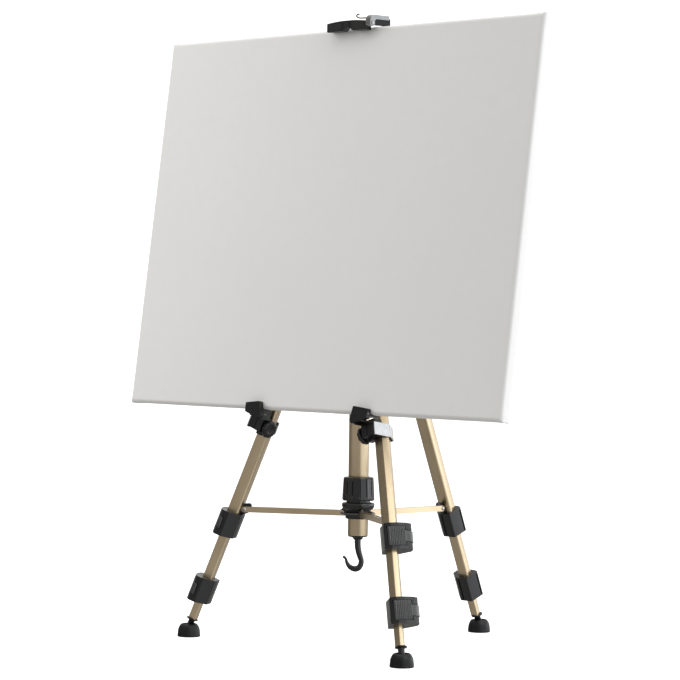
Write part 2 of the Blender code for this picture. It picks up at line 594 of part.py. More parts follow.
HEAD_LOW, HEAD_TOP = 737 * MM, 797 * MM
BLOCK_LOW, BLOCK_TOP = 807.4 * MM, 818.2 * MM
SIDEWAYS = (math.pi / 2, 0, math.pi / 2)      # an outline in Y and Z, with its thickness along X
head = put("clamp_head", prism("clamp_head", [
    (board_back(HEAD_LOW, 0.6 * MM), HEAD_LOW), (15 * MM, HEAD_LOW), (15 * MM, HEAD_TOP),
    (board_back(HEAD_TOP, 0.6 * MM), HEAD_TOP)], -16.5 * MM, 16.5 * MM), BLACK, origin, rotation=SIDEWAYS)
join(head, tool(prism("clamp_arm", [
    (board_back(772 * MM, 0.6 * MM), 772 * MM), (13 * MM, 772 * MM), (13 * MM, HEAD_TOP - 0.5 * MM),
    (board_back(HEAD_TOP - 0.5 * MM, 0.6 * MM), HEAD_TOP - 0.5 * MM)], 10 * MM, BRACKET_X[1]), origin, rotation=SIDEWAYS))
# above the arm a block reaches forward over the board's top edge
join(head, tool(prism("clamp_block", [
    (board_back(790 * MM, 0.6 * MM), 790 * MM), (3 * MM, 790 * MM), (3 * MM, BLOCK_TOP - 2.4 * MM), (0, BLOCK_TOP), (-25 * MM, BLOCK_TOP),
    (-25 * MM, BLOCK_LOW), (board_back(BLOCK_LOW, 0.6 * MM), BLOCK_LOW)], *BRACKET_X), origin, rotation=SIDEWAYS))
cut(head, tool(prism("mast_socket", circle(MAST_R + RUN, steps=32), HEAD_LOW - 10 * MM, MAST_TOP + RUN), origin))

# Bracket: a strip on top of the block that bends down in front of the board to an eye round the jaw's pin
strip = 1.8 * MM
eye = 2.4 * MM + strip / 2
crest = BLOCK_TOP + RUN + strip / 2
front = JAW_PIN[0] - eye
path = [(-0.4 * MM, crest), (-20 * MM, crest)]
path += [(front + 6 * MM * (1 - math.sin(a)), crest - 6 * MM * (1 - math.cos(a))) for a in (math.radians(18 * k) for k in range(6))]
path += [(JAW_PIN[0] - eye * math.cos(a), JAW_PIN[1] - eye * math.sin(a)) for a in (math.radians(24 * k) for k in range(12))]
outline = shifted(path, strip / 2) + shifted(path, -strip / 2)[::-1]
bracket = put("clamp_bracket", prism("clamp_bracket", outline, BRACKET_X[0], BRACKET_X[1] + SKIRT), STEEL, origin, rotation=SIDEWAYS)
# its side skirt, beside the block: along the top and down at the front
low, back, post = crest - 4.6 * MM, -0.4 * MM, -26.5 * MM
skirt = rounded([(back, crest), (front + 3 * MM, crest), (front, crest - 5 * MM), (front, JAW_PIN[1] + 2.6 * MM),
                 (post, JAW_PIN[1] + 2.6 * MM), (post, low), (back, low)], [0, 1.5 * MM, 1.5 * MM, 0, 0, 3.5 * MM, 0.8 * MM], 3)
join(bracket, tool(prism("skirt", skirt, BRACKET_X[1] + RUN, BRACKET_X[1] + SKIRT), origin, rotation=SIDEWAYS))

jaw_axis = empty("jaw_axis", (0, *JAW_PIN), (0, 0, 0), origin)
face = -23.5 * MM - JAW_PIN[0]
jaw = put("clamp_jaw", prism("clamp_jaw", rounded([
    (-3.4 * MM, -8.2 * MM), (face, -8.2 * MM), (face, 2.5 * MM), (4.0 * MM, 6.0 * MM), (-3.4 * MM, 5.6 * MM)], 1.2 * MM, 2),
    *JAW_X), BLACK, jaw_axis, rotation=SIDEWAYS)
join(jaw, tool(prism("jaw_pin", circle(2.0 * MM, steps=12), JAW_X[1] - 5 * MM, BRACKET_X[1] + SKIRT + 1.0 * MM), jaw_axis, rotation=SIDEWAYS))
arch = rounded([(-7 * MM, -20 * MM), (12 * MM, -20 * MM), (6.5 * MM, -4.6 * MM), (-1.5 * MM, -4.6 * MM)], [0, 0, 2.5 * MM, 2.5 * MM], 3)
cut(jaw, tool(prism("jaw_arch", arch, -20 * MM, 20 * MM), jaw_axis, rotation=UPRIGHT))

spring_line = smooth_line([
    (37.6, -21, 818.2), (31, -21.4, 818.0), (22, -22, 818.0), (14.5, -22.6, 818.4), (10.4, -23, 819.8),
    (9.2, -23, 821.6), (10.8, -22.8, 823.2), (13.6, -22.6, 823.4),
], 3)
wire("clamp_spring", [p * MM for p in spring_line], [0.9 * MM] * len(spring_line), STEEL, origin, sides=2)


# ---------------------------------------------------------------- shading

for made in parts.objects:
    if made.type == "MESH":
        made.data.set_sharp_from_angle(angle=math.radians(35))
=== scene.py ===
"""Looks of the folding tripod easel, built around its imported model."""

import json
import math

import bmesh
import bpy
from mathutils import Matrix, Vector

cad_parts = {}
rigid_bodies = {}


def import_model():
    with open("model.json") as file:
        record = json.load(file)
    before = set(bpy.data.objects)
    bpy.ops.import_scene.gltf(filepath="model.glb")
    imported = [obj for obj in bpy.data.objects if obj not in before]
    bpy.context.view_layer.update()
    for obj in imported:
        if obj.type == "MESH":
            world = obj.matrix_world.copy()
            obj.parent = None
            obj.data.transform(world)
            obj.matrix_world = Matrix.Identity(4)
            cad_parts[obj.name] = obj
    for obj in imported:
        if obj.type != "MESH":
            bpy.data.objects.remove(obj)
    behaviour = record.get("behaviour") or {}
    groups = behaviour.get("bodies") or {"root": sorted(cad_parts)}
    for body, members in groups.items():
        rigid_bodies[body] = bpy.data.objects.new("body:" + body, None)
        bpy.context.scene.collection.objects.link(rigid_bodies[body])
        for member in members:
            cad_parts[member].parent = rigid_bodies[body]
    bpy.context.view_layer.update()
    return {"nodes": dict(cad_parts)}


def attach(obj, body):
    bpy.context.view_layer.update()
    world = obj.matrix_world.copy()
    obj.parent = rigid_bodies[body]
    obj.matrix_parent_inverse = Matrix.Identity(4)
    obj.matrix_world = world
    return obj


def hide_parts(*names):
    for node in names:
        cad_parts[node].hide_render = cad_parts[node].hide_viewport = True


for old in list(bpy.data.objects):
    bpy.data.objects.remove(old)

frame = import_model()
nodes = frame["nodes"]

MM = 0.001
COLUMN_X, COLUMN_Y = 12.0 * MM, -57.19 * MM
AZIMUTH = {"left": -150.0, "right": -30.0, "rear": 90.0}
HINGE_R, HINGE_Z = 45.0 * MM, 491.4 * MM
SPLAY = math.radians(21.4)
LEAN = math.radians(7.83)
BOARD_X, BOARD_Y, BOARD_Z = -12.0 * MM, -90.5 * MM, 307.7 * MM
BOARD_W, BOARD_H, BOARD_T = 700.0 * MM, 500.0 * MM, 16.0 * MM
JAW_PIN = (-30.5 * MM, 809.5 * MM)
RUN = 0.3 * MM

BASE = Matrix.Translation((COLUMN_X, COLUMN_Y, 0))
UPRIGHT = Matrix.Rotation(math.pi / 2, 4, "X")                                     # outline in X and Z
SIDEWAYS = Matrix.Rotation(math.pi / 2, 4, "Z") @ Matrix.Rotation(math.pi / 2, 4, "X")   # outline in Y and Z
BOARD = BASE @ Matrix.Translation((BOARD_X, BOARD_Y, BOARD_Z)) @ Matrix.Rotation(-LEAN, 4, "X")
LIP = BASE @ Matrix.Translation((0, BOARD_Y, BOARD_Z)) @ Matrix.Rotation(-LEAN, 4, "X")


def leg_matrix(side):
    turn = math.radians(AZIMUTH[side])
    place = (HINGE_R * math.cos(turn), HINGE_R * math.sin(turn), HINGE_Z)
    return BASE @ Matrix.Translation(place) @ Matrix.Rotation(turn, 4, "Z") @ Matrix.Rotation(-SPLAY, 4, "Y")


LEG = {side: leg_matrix(side) for side in AZIMUTH}


# ---------------------------------------------------------------- materials

class Nodes:
    """A material with its Principled shader, and short ways to add texture nodes."""

    def __init__(self, name, roughness=0.5, metallic=0.0, specular=0.5):
        self.made = bpy.data.materials.new(name)
        self.made.use_nodes = True
        self.tree = self.made.node_tree
        self.shader = self.tree.nodes["Principled BSDF"]
        self.shader.inputs["Roughness"].default_value = roughness
        self.shader.inputs["Metallic"].default_value = metallic
        self.shader.inputs["Specular IOR Level"].default_value = specular
        self.coords = self.tree.nodes.new("ShaderNodeTexCoord").outputs["Object"]

    def link(self, a, b):
        self.tree.links.new(a, b)

    def stretched(self, rotation, scale):
        """Coordinates turned to a direction, then stretched."""
        node = self.tree.nodes.new("ShaderNodeMapping")
        node.vector_type = "TEXTURE"
        node.inputs["Rotation"].default_value = rotation
        node.inputs["Scale"].default_value = scale
        self.link(self.coords, node.inputs["Vector"])
        return node.outputs["Vector"]

    def noise(self, scale, detail=3.0, rough=0.5, vector=None):
        node = self.tree.nodes.new("ShaderNodeTexNoise")
        node.inputs["Scale"].default_value = scale
        node.inputs["Detail"].default_value = detail
        node.inputs["Roughness"].default_value = rough
        self.link(vector or self.coords, node.inputs["Vector"])
        return node.outputs["Fac"]

    def wave(self, scale, direction, distortion=0.0, vector=None, kind="BANDS", detail=1.0):
        node = self.tree.nodes.new("ShaderNodeTexWave")
        node.wave_type = kind
        if kind == "BANDS":
            node.bands_direction = direction
        else:
            node.rings_direction = direction
        node.inputs["Scale"].default_value = scale
        node.inputs["Distortion"].default_value = distortion
        node.inputs["Detail"].default_value = detail
        self.link(vector or self.coords, node.inputs["Vector"])
        return node.outputs["Fac"]

    def ramp(self, value, low, high, start=0.3, end=0.7):
        node = self.tree.nodes.new("ShaderNodeValToRGB")
        node.color_ramp.elements[0].position, node.color_ramp.elements[1].position = start, end
        node.color_ramp.elements[0].color = (*low, 1)
        node.color_ramp.elements[1].color = (*high, 1)
        self.link(value, node.inputs["Fac"])
        return node.outputs["Color"]

    def spread(self, value, low, high, start=0.3, end=0.7):
        node = self.tree.nodes.new("ShaderNodeMapRange")
        for key, number in (("From Min", start), ("From Max", end), ("To Min", low), ("To Max", high)):
            node.inputs[key].default_value = number
        self.link(value, node.inputs["Value"])
        return node.outputs["Result"]

    def sum(self, a, b, how="ADD"):
        node = self.tree.nodes.new("ShaderNodeMath")
        node.operation = how
        self.link(a, node.inputs[0])
        self.link(b, node.inputs[1])
        return node.outputs["Value"]

    def bump(self, height, strength, distance=0.0002):
        node = self.tree.nodes.new("ShaderNodeBump")
        node.inputs["Strength"].default_value = strength
        node.inputs["Distance"].default_value = distance
        self.link(height, node.inputs["Height"])
        self.link(node.outputs["Normal"], self.shader.inputs["Normal"])

    def colour(self, socket):
        self.link(socket, self.shader.inputs["Base Color"])

    def rough(self, socket):
        self.link(socket, self.shader.inputs["Roughness"])


def anodised(name, direction):
    """Satin champagne aluminium with fine draw lines along a direction."""
    m = Nodes(name, metallic=0.96, specular=0.5)
    m.shader.inputs["Coat Weight"].default_value = 0.3
    m.shader.inputs["Coat Roughness"].default_value = 0.25
    turn = Vector((0, 0, 1)).rotation_difference(Vector(direction)).to_euler()
    lines = m.stretched(turn, (1 / 1800, 1 / 1800, 1 / 14))
    streak = m.noise(1.0, 4.0, 0.6, lines)
    cloud = m.noise(26.0, 2.0)
    m.colour(m.ramp(m.sum(streak, cloud, "MULTIPLY"), (0.56, 0.445, 0.29), (0.66, 0.535, 0.365), 0.12, 0.42))
    m.rough(m.spread(streak, 0.28, 0.38))
    m.bump(streak, 0.10, 0.00008)
    return m.made


def plastic(name, shade, low, high, grain=1500.0, strength=0.16, specular=0.8):
    """Moulded black plastic: fine grain, gloss that changes from place to place."""
    m = Nodes(name, specular=specular)
    cloud = m.noise(55.0, 4.0)
    fine = m.noise(grain, 2.0)
    m.colour(m.ramp(cloud, [c * 0.8 for c in shade], [c * 1.25 for c in shade]))
    m.rough(m.spread(cloud, low, high))
    m.bump(fine, strength, 0.00012)
    return m.made


def plated(name, low=0.10, high=0.24, shade=1.0):
    """Bright plated steel with faint scuffs."""
    m = Nodes(name, metallic=1.0)
    scuff = m.noise(140.0, 6.0, 0.65)
    fine = m.noise(900.0, 2.0)
    m.colour(m.ramp(scuff, [c * shade for c in (0.66, 0.66, 0.67)], [c * shade for c in (0.82, 0.82, 0.83)]))
    m.rough(m.spread(scuff, low, high))
    m.bump(fine, 0.05, 0.0001)
    return m.made


def canvas(name):
    """White primed cotton: plain weave under a thin coat of primer."""
    m = Nodes(name, specular=0.25)
    m.shader.inputs["Sheen Weight"].default_value = 0.08
    turn = (-LEAN, 0, 0)
    flat = m.stretched(turn, (1, 1, 1))
    warp = m.wave(330.0, "X", 1.2, flat)
    weft = m.wave(330.0, "Z", 1.2, flat)
    slub = m.noise(70.0, 5.0, 0.6, flat)
    tone = m.noise(3.2, 3.0, 0.5, flat)
    weave = m.sum(m.sum(warp, weft, "MAXIMUM"), slub)
    m.colour(m.ramp(m.sum(tone, slub, "MULTIPLY"), (0.705, 0.702, 0.695), (0.725, 0.722, 0.715), 0.1, 0.4))
    m.rough(m.spread(slub, 0.72, 0.86))
    m.bump(weave, 0.10, 0.00018)
    return m.made


def pine(name, direction):
    """Planed softwood with its grain along a direction."""
    m = Nodes(name, specular=0.35)
    turn = Vector((0, 0, 1)).rotation_difference(Vector(direction)).to_euler()
    grain = m.stretched(turn, (1, 1, 16))
    rings = m.wave(26.0, "X", 7.0, grain, "RINGS", 3.0)
    fibre = m.noise(420.0, 5.0, 0.6, grain)
    m.colour(m.ramp(m.sum(rings, fibre, "MULTIPLY"), (0.50, 0.33, 0.17), (0.74, 0.57, 0.36), 0.05, 0.55))
    m.rough(m.spread(fibre, 0.55, 0.72))
    m.bump(m.sum(rings, fibre), 0.15, 0.0002)
    return m.made


PLASTIC = plastic("moulded_black", (0.006, 0.006, 0.007), 0.24, 0.38, specular=0.48)
PLASTIC_GLOSS = plastic("polished_black", (0.006, 0.006, 0.007), 0.16, 0.28, 900.0, 0.05, 0.6)
RUBBER = plastic("black_rubber", (0.005, 0.005, 0.006), 0.30, 0.42, 1100.0, 0.15, 0.3)
LEVER_BLACK = plastic("lever_black", (0.030, 0.030, 0.031), 0.22, 0.34, specular=0.7)
CHROME = plated("plated_steel", shade=0.72)
DULL_CHROME = plated("worn_plating", 0.16, 0.28, 0.5)
SATIN = plated("satin_steel", 0.14, 0.24, 0.85)
DULL = plated("dull_steel", 0.30, 0.44, 0.22)
DARK_STEEL = plastic("blackened_steel", (0.03, 0.03, 0.032), 0.25, 0.40)
CANVAS = canvas("primed_canvas")
PINE_X = pine("pine_across", (1, 0, 0))
PINE_Z = pine("pine_upright", (0, math.sin(LEAN), math.cos(LEAN)))
GOLD = anodised("champagne_column", (0, 0, 1))
GOLD_LEG = {side: anodised(f"champagne_leg_{side}", LEG[side].to_3x3() @ Vector((0, 0, 1))) for side in AZIMUTH}
GOLD_STRUT = {
    side: anodised(f"champagne_strut_{side}", (math.cos(math.radians(a)), math.sin(math.radians(a)), 0))
    for side, a in AZIMUTH.items()
}


# ---------------------------------------------------------------- shapes

def rounded(points, radii, steps=4):
    """The outline with an arc at each corner."""
    if not isinstance(radii, (list, tuple)):
        radii = [radii] * len(points)
    out = []
    for i, radius in enumerate(radii):
        here = Vector(points[i])
        if radius <= 0:
            out.append(here)
            continue
        back = (Vector(points[i - 1]) - here).normalized()
        ahead = (Vector(points[(i + 1) % len(points)]) - here).normalized()
        half = back.angle(ahead) / 2
        centre = here + (back + ahead).normalized() * (radius / math.sin(half))
        start = here + back * (radius / math.tan(half)) - centre
        end = here + ahead * (radius / math.tan(half)) - centre
        first = math.atan2(start.y, start.x)
        turn = (math.atan2(end.y, end.x) - first + math.pi) % (2 * math.pi) - math.pi
        for k in range(steps + 1):
            angle = first + turn * k / steps
            out.append(centre + Vector((math.cos(angle), math.sin(angle))) * radius)
    return [(p.x, p.y) for p in out]


def circle(radius, centre=(0, 0), steps=32):
    return [
        (centre[0] + radius * math.cos(2 * math.pi * k / steps), centre[1] + radius * math.sin(2 * math.pi * k / steps))
        for k in range(steps)
    ]


def box(x0, x1, y0, y1):
    return [(x0, y0), (x1, y0), (x1, y1), (x0, y1)]


def shifted(line, distance):
    """An open line moved sideways, to the right of its direction."""
    out = []
    for i, point in enumerate(line):
        along = (Vector(line[min(i + 1, len(line) - 1)]) - Vector(line[max(i - 1, 0)])).normalized()
        out.append((point[0] + along.y * distance, point[1] - along.x * distance))
    return out


def smooth_line(points, between=6):
    """Catmull-Rom points through the given ones."""
    out = []
    for i in range(len(points) - 1):
        p0, p1, p2, p3 = (Vector(points[min(max(i + k, 0), len(points) - 1)]) for k in (-1, 0, 1, 2))
        for k in range(between):
            t = k / between
            out.append(0.5 * (2 * p1 + (p2 - p0) * t + (2 * p0 - 5 * p1 + 4 * p2 - p3) * t ** 2
                              + (3 * p1 - p0 - 3 * p2 + p3) * t ** 3))
    out.append(Vector(points[-1]))
    return out


def prism(name, outline, low, high, holes=()):
    """A flat outline, with holes, given thickness along Z."""
    curve = bpy.data.curves.new(name, "CURVE")
    curve.dimensions = "2D"
    curve.fill_mode = "BOTH"
    curve.extrude = (high - low) / 2
    for loop in (outline, *holes):
        spline = curve.splines.new("POLY")
        spline.points.add(len(loop) - 1)
        for point, (x, y) in zip(spline.points, loop):
            point.co = (x, y, 0, 1)
        spline.use_cyclic_u = True
    guide = bpy.data.objects.new(name, curve)
    bpy.context.scene.collection.objects.link(guide)
    bpy.context.view_layer.update()
    mesh = bpy.data.meshes.new_from_object(guide.evaluated_get(bpy.context.evaluated_depsgraph_get()))
    bpy.data.objects.remove(guide)
    mesh.name = name
    edit = bmesh.new()
    edit.from_mesh(mesh)
    bmesh.ops.remove_doubles(edit, verts=edit.verts, dist=1e-6)
    bmesh.ops.translate(edit, verts=edit.verts, vec=(0, 0, (high + low) / 2))
    bmesh.ops.dissolve_limit(edit, angle_limit=0.001, verts=edit.verts, edges=edit.edges)
    bmesh.ops.recalc_face_normals(edit, faces=edit.faces)
    edit.to_mesh(mesh)
    edit.free()
    return mesh


def turned(name, points, steps=72, ring=False, wobble=None):
    """Radius and height pairs, down the outer side, turned about Z. wobble changes the radius with the angle."""
    edit = bmesh.new()
    rows = []
    for r, z in points:
        if r < 1e-9:
            rows.append([edit.verts.new((0, 0, z))] * steps)
            continue
        row = []
        for k in range(steps):
            angle = 2 * math.pi * k / steps
            radius = wobble(angle, r, z) if wobble else r
            row.append(edit.verts.new((radius * math.cos(angle), radius * math.sin(angle), z)))
        rows.append(row)
    for a, b in zip(rows, rows[1:] + (rows[:1] if ring else [])):
        for k in range(steps):
            n = (k + 1) % steps
            loop = []
            for v in (a[k], b[k], b[n], a[n]):
                if v not in loop:
                    loop.append(v)
            if len(loop) > 2:
                edit.faces.new(loop)
    bmesh.ops.recalc_face_normals(edit, faces=edit.faces)
    mesh = bpy.data.meshes.new(name)
    edit.to_mesh(mesh)
    edit.free()
    return mesh


def bar(name, points, radii, sides=14):
    """A round bar along a line in space, with rounded ends."""
    edit = bmesh.new()
    points = [Vector(p) for p in points]
    rows, normal = [], None
    for i, place in enumerate(points):
        along = (points[min(i + 1, len(points) - 1)] - points[max(i - 1, 0)]).normalized()
        if normal is None:
            normal = along.orthogonal().normalized()
        normal = (normal - along * normal.dot(along)).normalized()
        side = along.cross(normal)
        rows.append((place, along, normal.copy(), side))
    loops = []

    def loop(place, normal, side, radius):
        loops.append([edit.verts.new(place + (normal * math.cos(a) + side * math.sin(a)) * radius)
                      for a in (2 * math.pi * k / sides for k in range(sides))])

    for end, order in ((0, (75, 50, 25)), (None, ()), (-1, (25, 50, 75))):
        if end is None:
            for (place, along, n, s), radius in zip(rows, radii):
                loop(place, n, s, radius)
            continue
        place, along, n, s = rows[end]
        for degrees in order:
            a = math.radians(degrees)
            away = along * (-1 if end == 0 else 1)
            loop(place + away * radii[end] * math.sin(a) * 0.6, n, s, radii[end] * math.cos(a))
    for a, b in zip(loops, loops[1:]):
        for k in range(sides):
            edit.faces.new((a[k], a[(k + 1) % sides], b[(k + 1) % sides], b[k]))
    edit.faces.new(loops[0][::-1])
    edit.faces.new(loops[-1])
    bmesh.ops.recalc_face_normals(edit, faces=edit.faces)
    mesh = bpy.data.meshes.new(name)
    edit.to_mesh(mesh)
    edit.free()
    return mesh


def combined(name, base, *steps):
    """The base mesh with others joined to it or cut from it, each given as (mesh, matrix, operation)."""
    target = bpy.data.objects.new(name, base)
    bpy.context.scene.collection.objects.link(target)
    helpers = []
    for mesh, matrix, operation in steps:
        helper = bpy.data.objects.new(name + "_helper", mesh)
        helper.matrix_world = matrix
        bpy.context.scene.collection.objects.link(helper)
        helpers.append(helper)
        modifier = target.modifiers.new(operation, "BOOLEAN")
        modifier.operation, modifier.solver, modifier.object = operation, "EXACT", helper
    bpy.context.view_layer.update()
    mesh = bpy.data.meshes.new_from_object(target.evaluated_get(bpy.context.evaluated_depsgraph_get()))
    for o in (target, *helpers):
        bpy.data.objects.remove(o)
    edit = bmesh.new()
    edit.from_mesh(mesh)
    bmesh.ops.remove_doubles(edit, verts=edit.verts, dist=1e-6)
    bmesh.ops.dissolve_limit(edit, angle_limit=0.001, verts=edit.verts, edges=edit.edges)
    edit.to_mesh(mesh)
    edit.free()
    mesh.name = name
    return mesh


def add(name, mesh, matrix, material, body, replaces=(), bevel=0.0, sharp=35, segments=2):
    """A piece of the object, in place, riding on a body."""
    mesh.transform(matrix)
    mesh.materials.clear()
    mesh.materials.append(material)
    made = bpy.data.objects.new(name, mesh)
    bpy.context.scene.collection.objects.link(made)
    mesh.shade_smooth()
    if bevel:
        soft = made.modifiers.new("soft edges", "BEVEL")
        soft.width = bevel
        soft.segments = segments
        soft.limit_method = "ANGLE"
        soft.angle_limit = math.radians(sharp)
        soft.harden_normals = True
    else:
        mesh.set_sharp_from_angle(angle=math.radians(sharp))
    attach(made, body)
    if replaces:
        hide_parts(*([replaces] if isinstance(replaces, str) else replaces))
    return made


def keep(node, material, bevel=0.0, sharp=35):
    """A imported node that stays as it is, with a better material and soft edges."""
    made = nodes[node]
    if not made.material_slots:
        made.data.materials.append(material)
    for place in made.material_slots:
        place.material = material
    if bevel:
        soft = made.modifiers.new("soft edges", "BEVEL")
        soft.width = bevel
        soft.segments = 2
        soft.limit_method = "ANGLE"
        soft.angle_limit = math.radians(sharp)
        soft.harden_normals = True
    return made


def joined(meshes):
    """Several closed meshes as one mesh."""
    edit = bmesh.new()
    for mesh, matrix in meshes:
        mesh.transform(matrix)
        edit.from_mesh(mesh)
    mesh = bpy.data.meshes.new("joined")
    edit.to_mesh(mesh)
    edit.free()
    return mesh


def tube_section(inset, steps=6):
    """The leg tube's outline, moved inwards: a trapezium with round inner corners."""
    outer_half, inner_half, outer, inner = 4.2 * MM, 11.9 * MM, 8.5 * MM, -8.6 * MM
    slope = math.atan2(inner_half - outer_half, outer - inner)

    def half(rho):
        return outer_half + (outer - rho) * math.tan(slope) - inset / math.cos(slope)

    a, b = outer - inset, inner + inset
    small = max(0.9 * MM - 0.12 * inset, 0.5 * MM)
    large = max(3.2 * MM - 0.6 * inset, 1.0 * MM)
    return rounded([(a, -half(a)), (a, half(a)), (b, half(b)), (b, -half(b))], [small, small, large, large], steps)


# ---------------------------------------------------------------- column, mast, hub, nut, hook

COLUMN_R, COLUMN_BORE, COLUMN_LOW, COLUMN_TOP = 13.4 * MM, 11.9 * MM, 143.4 * MM, 548.0 * MM


def pipe(outer, inner, low, high, soft=0.4 * MM):
    return [(outer - soft, high), (outer - soft * 0.3, high - soft * 0.3), (outer, high - soft), (outer, low + soft),
            (outer - soft * 0.3, low + soft * 0.3), (outer - soft, low), (inner, low), (inner, high)]


add("column", turned("column", pipe(COLUMN_R, COLUMN_BORE, COLUMN_LOW, COLUMN_TOP), 96, ring=True), BASE, GOLD,
    "column", "column_tube")
add("mast", turned("mast", pipe(10 * MM, 8.8 * MM, 330 * MM, 762 * MM), 80, ring=True), BASE, GOLD,
    "mast", "mast_tube")
add("column_plug", turned("column_plug", [
    (COLUMN_BORE - RUN, COLUMN_LOW + 12 * MM), (COLUMN_BORE - RUN, COLUMN_LOW - RUN),
    (COLUMN_R - 0.7 * MM, COLUMN_LOW - RUN), (COLUMN_R - 0.5 * MM, COLUMN_LOW - 0.7 * MM),
    (COLUMN_R - 1.0 * MM, COLUMN_LOW - 1.6 * MM), (9.0 * MM, COLUMN_LOW - 2.0 * MM), (7.4 * MM, COLUMN_LOW - 2.6 * MM),
    (6.4 * MM, COLUMN_LOW - 3.8 * MM), (5.8 * MM, COLUMN_LOW - 5.4 * MM), (4.7 * MM, COLUMN_LOW - 5.4 * MM),
    (4.7 * MM, COLUMN_LOW + 12 * MM),
], 72, ring=True), BASE, PLASTIC, "column", "column_end_plug")

hook_line = smooth_line([
    (0, 0, 152), (0, 0, 142), (0, 0, 133), (0.5, 0, 127), (1.7, 0, 121), (3.4, 0, 115.6), (4.9, 0, 110.7),
    (4.6, 0, 106), (2.4, 0, 101.6), (-1.8, 0, 99.4), (-6, 0, 99.8), (-9.8, 0, 101.9), (-12.7, 0, 105.3),
    (-14.2, 0, 108.6), (-15.2, 0, 112), (-16.9, 0, 114.2), (-18.4, 0, 115.0),
], 5)
hook_radius = smooth_line([
    (r, 0, 0) for r in (4.3, 4.3, 4.2, 4.1, 4.0, 3.8, 3.6, 3.6, 3.8, 4.0, 3.7, 3.2, 2.6, 2.1, 1.8, 1.8, 1.9)
], 5)
add("hook", bar("hook", [p * MM for p in hook_line], [p.x * MM for p in hook_radius], 20),
    BASE @ Matrix.Rotation(math.radians(46), 4, "Z"), PLASTIC_GLOSS, "hook", "weight_hook")

NUT_LOW, NUT_TOP = 189.3 * MM, 220.3 * MM


def flutes(angle, r, z):
    """Broad pads with narrow slots between them, fading out at both ends."""
    if r < 18 * MM:
        return r
    ends = min(1.0, max(0.0, (z - NUT_LOW - 3.0 * MM) / (2 * MM))) * min(1.0, max(0.0, (NUT_TOP - 1.8 * MM - z) / (1.6 * MM)))
    turn = (angle * 14 / (2 * math.pi)) % 1.0
    off = abs(turn - 0.5)
    slot = max(0.0, 1 - (off / 0.12) ** 4)
    pad = 0.35 * MM * (1 - math.cos(2 * math.pi * turn)) * 0.5
    return r - ends * (1.5 * MM * slot) - 0.35 * MM + pad


nut_side = [(20.0 * MM + 1.4 * MM * k / 9, NUT_TOP - 1.6 * MM - (26.4 * MM) * k / 9) for k in range(10)]
add("nut", turned("nut", [
    (15.2 * MM, NUT_TOP + 0.3 * MM), (17.2 * MM, NUT_TOP + 0.2 * MM), (18.8 * MM, NUT_TOP - 0.3 * MM), (19.6 * MM, NUT_TOP - 0.9 * MM), *nut_side,
    (21.2 * MM, NUT_LOW + 1.2 * MM), (20.4 * MM, NUT_LOW), (13.7 * MM, NUT_LOW), (13.7 * MM, NUT_TOP),
    (14.6 * MM, NUT_TOP + 0.3 * MM)],
    14 * 16, ring=True, wobble=flutes), BASE, PLASTIC_GLOSS, "nut", "clamp_nut", sharp=50)

HUB_PIN_R, STRUT_Z = 21.5 * MM, 172.4 * MM
hub = turned("hub", [
    (15.6 * MM, 188.9 * MM), (15.6 * MM, 187.2 * MM), (17.6 * MM, 186.9 * MM), (20.0 * MM, 186.6 * MM), (21.1 * MM, 186.0 * MM),
    (21.6 * MM, 184.9 * MM), (21.6 * MM, 182.8 * MM), (20.8 * MM, 179.8 * MM), (18.8 * MM, 177.6 * MM), (17.2 * MM, 177.0 * MM), (16.8 * MM, 176.0 * MM), (16.8 * MM, 167.0 * MM),
    (16.4 * MM, 165.8 * MM), (15.6 * MM, 165.4 * MM), (13.7 * MM, 165.4 * MM), (13.7 * MM, 188.9 * MM)], 80, ring=True)
tongue = rounded([(15.5 * MM, 168.6 * MM), (23 * MM, 168.6 * MM), (25.3 * MM, 171 * MM), (25.3 * MM, 174.6 * MM),
                  (21.4 * MM, 178.6 * MM), (15.5 * MM, 178.6 * MM)], [0, 1.5 * MM, 1.5 * MM, 1.5 * MM, 0, 0], 4)
hub = combined("hub", hub, *[
    (prism("tongue", tongue, -1.7 * MM, 1.7 * MM, [circle(1.6 * MM, (HUB_PIN_R, STRUT_Z), 16)]),
     Matrix.Rotation(math.radians(a), 4, "Z") @ UPRIGHT, "UNION") for a in AZIMUTH.values()])
add("hub", hub, BASE, PLASTIC_GLOSS, "hub", "spreader_hub", sharp=40)
add("hub_wire", turned("hub_wire", [
    (HUB_PIN_R + r, STRUT_Z - z) for r, z in circle(1.1 * MM, steps=12)], 72, ring=True), BASE, DARK_STEEL, "hub", "hub_ring", sharp=80)

for side in AZIMUTH:
    keep(f"strut_{side}", GOLD_STRUT[side], 0.25 * MM, 50)
    turn = math.radians(AZIMUTH[side])
    pin = Matrix.Translation((156 * MM * math.cos(turn), 156 * MM * math.sin(turn), STRUT_Z)) @ Matrix.Rotation(turn, 4, "Z") @ UPRIGHT
    head = [(0.9, 5.0), (1.7, 4.85), (2.35, 4.4), (2.7, 3.8)]
    add(f"pin_{side}", turned(f"pin_{side}", [(0, 5.0 * MM)] + [(r * MM, z * MM) for r, z in head] + [
        (1.5 * MM, 3.8 * MM), (1.5 * MM, -3.8 * MM)] + [(r * MM, -z * MM) for r, z in head[::-1]] + [(0, -5.0 * MM)], 28),
        BASE @ pin, CHROME, f"leg_{side}", f"strut_pin_{side}")


# ---------------------------------------------------------------- spider, collar and other hidden fittings

keep("spider", PLASTIC, 0.7 * MM)
keep("mast_lock_collar", PLASTIC, 0.6 * MM)
for side in AZIMUTH:
    keep(f"leg_bolt_{side}", CHROME, 0.3 * MM)
    keep(f"leg_knuckle_{side}", PLASTIC, 0.5 * MM)


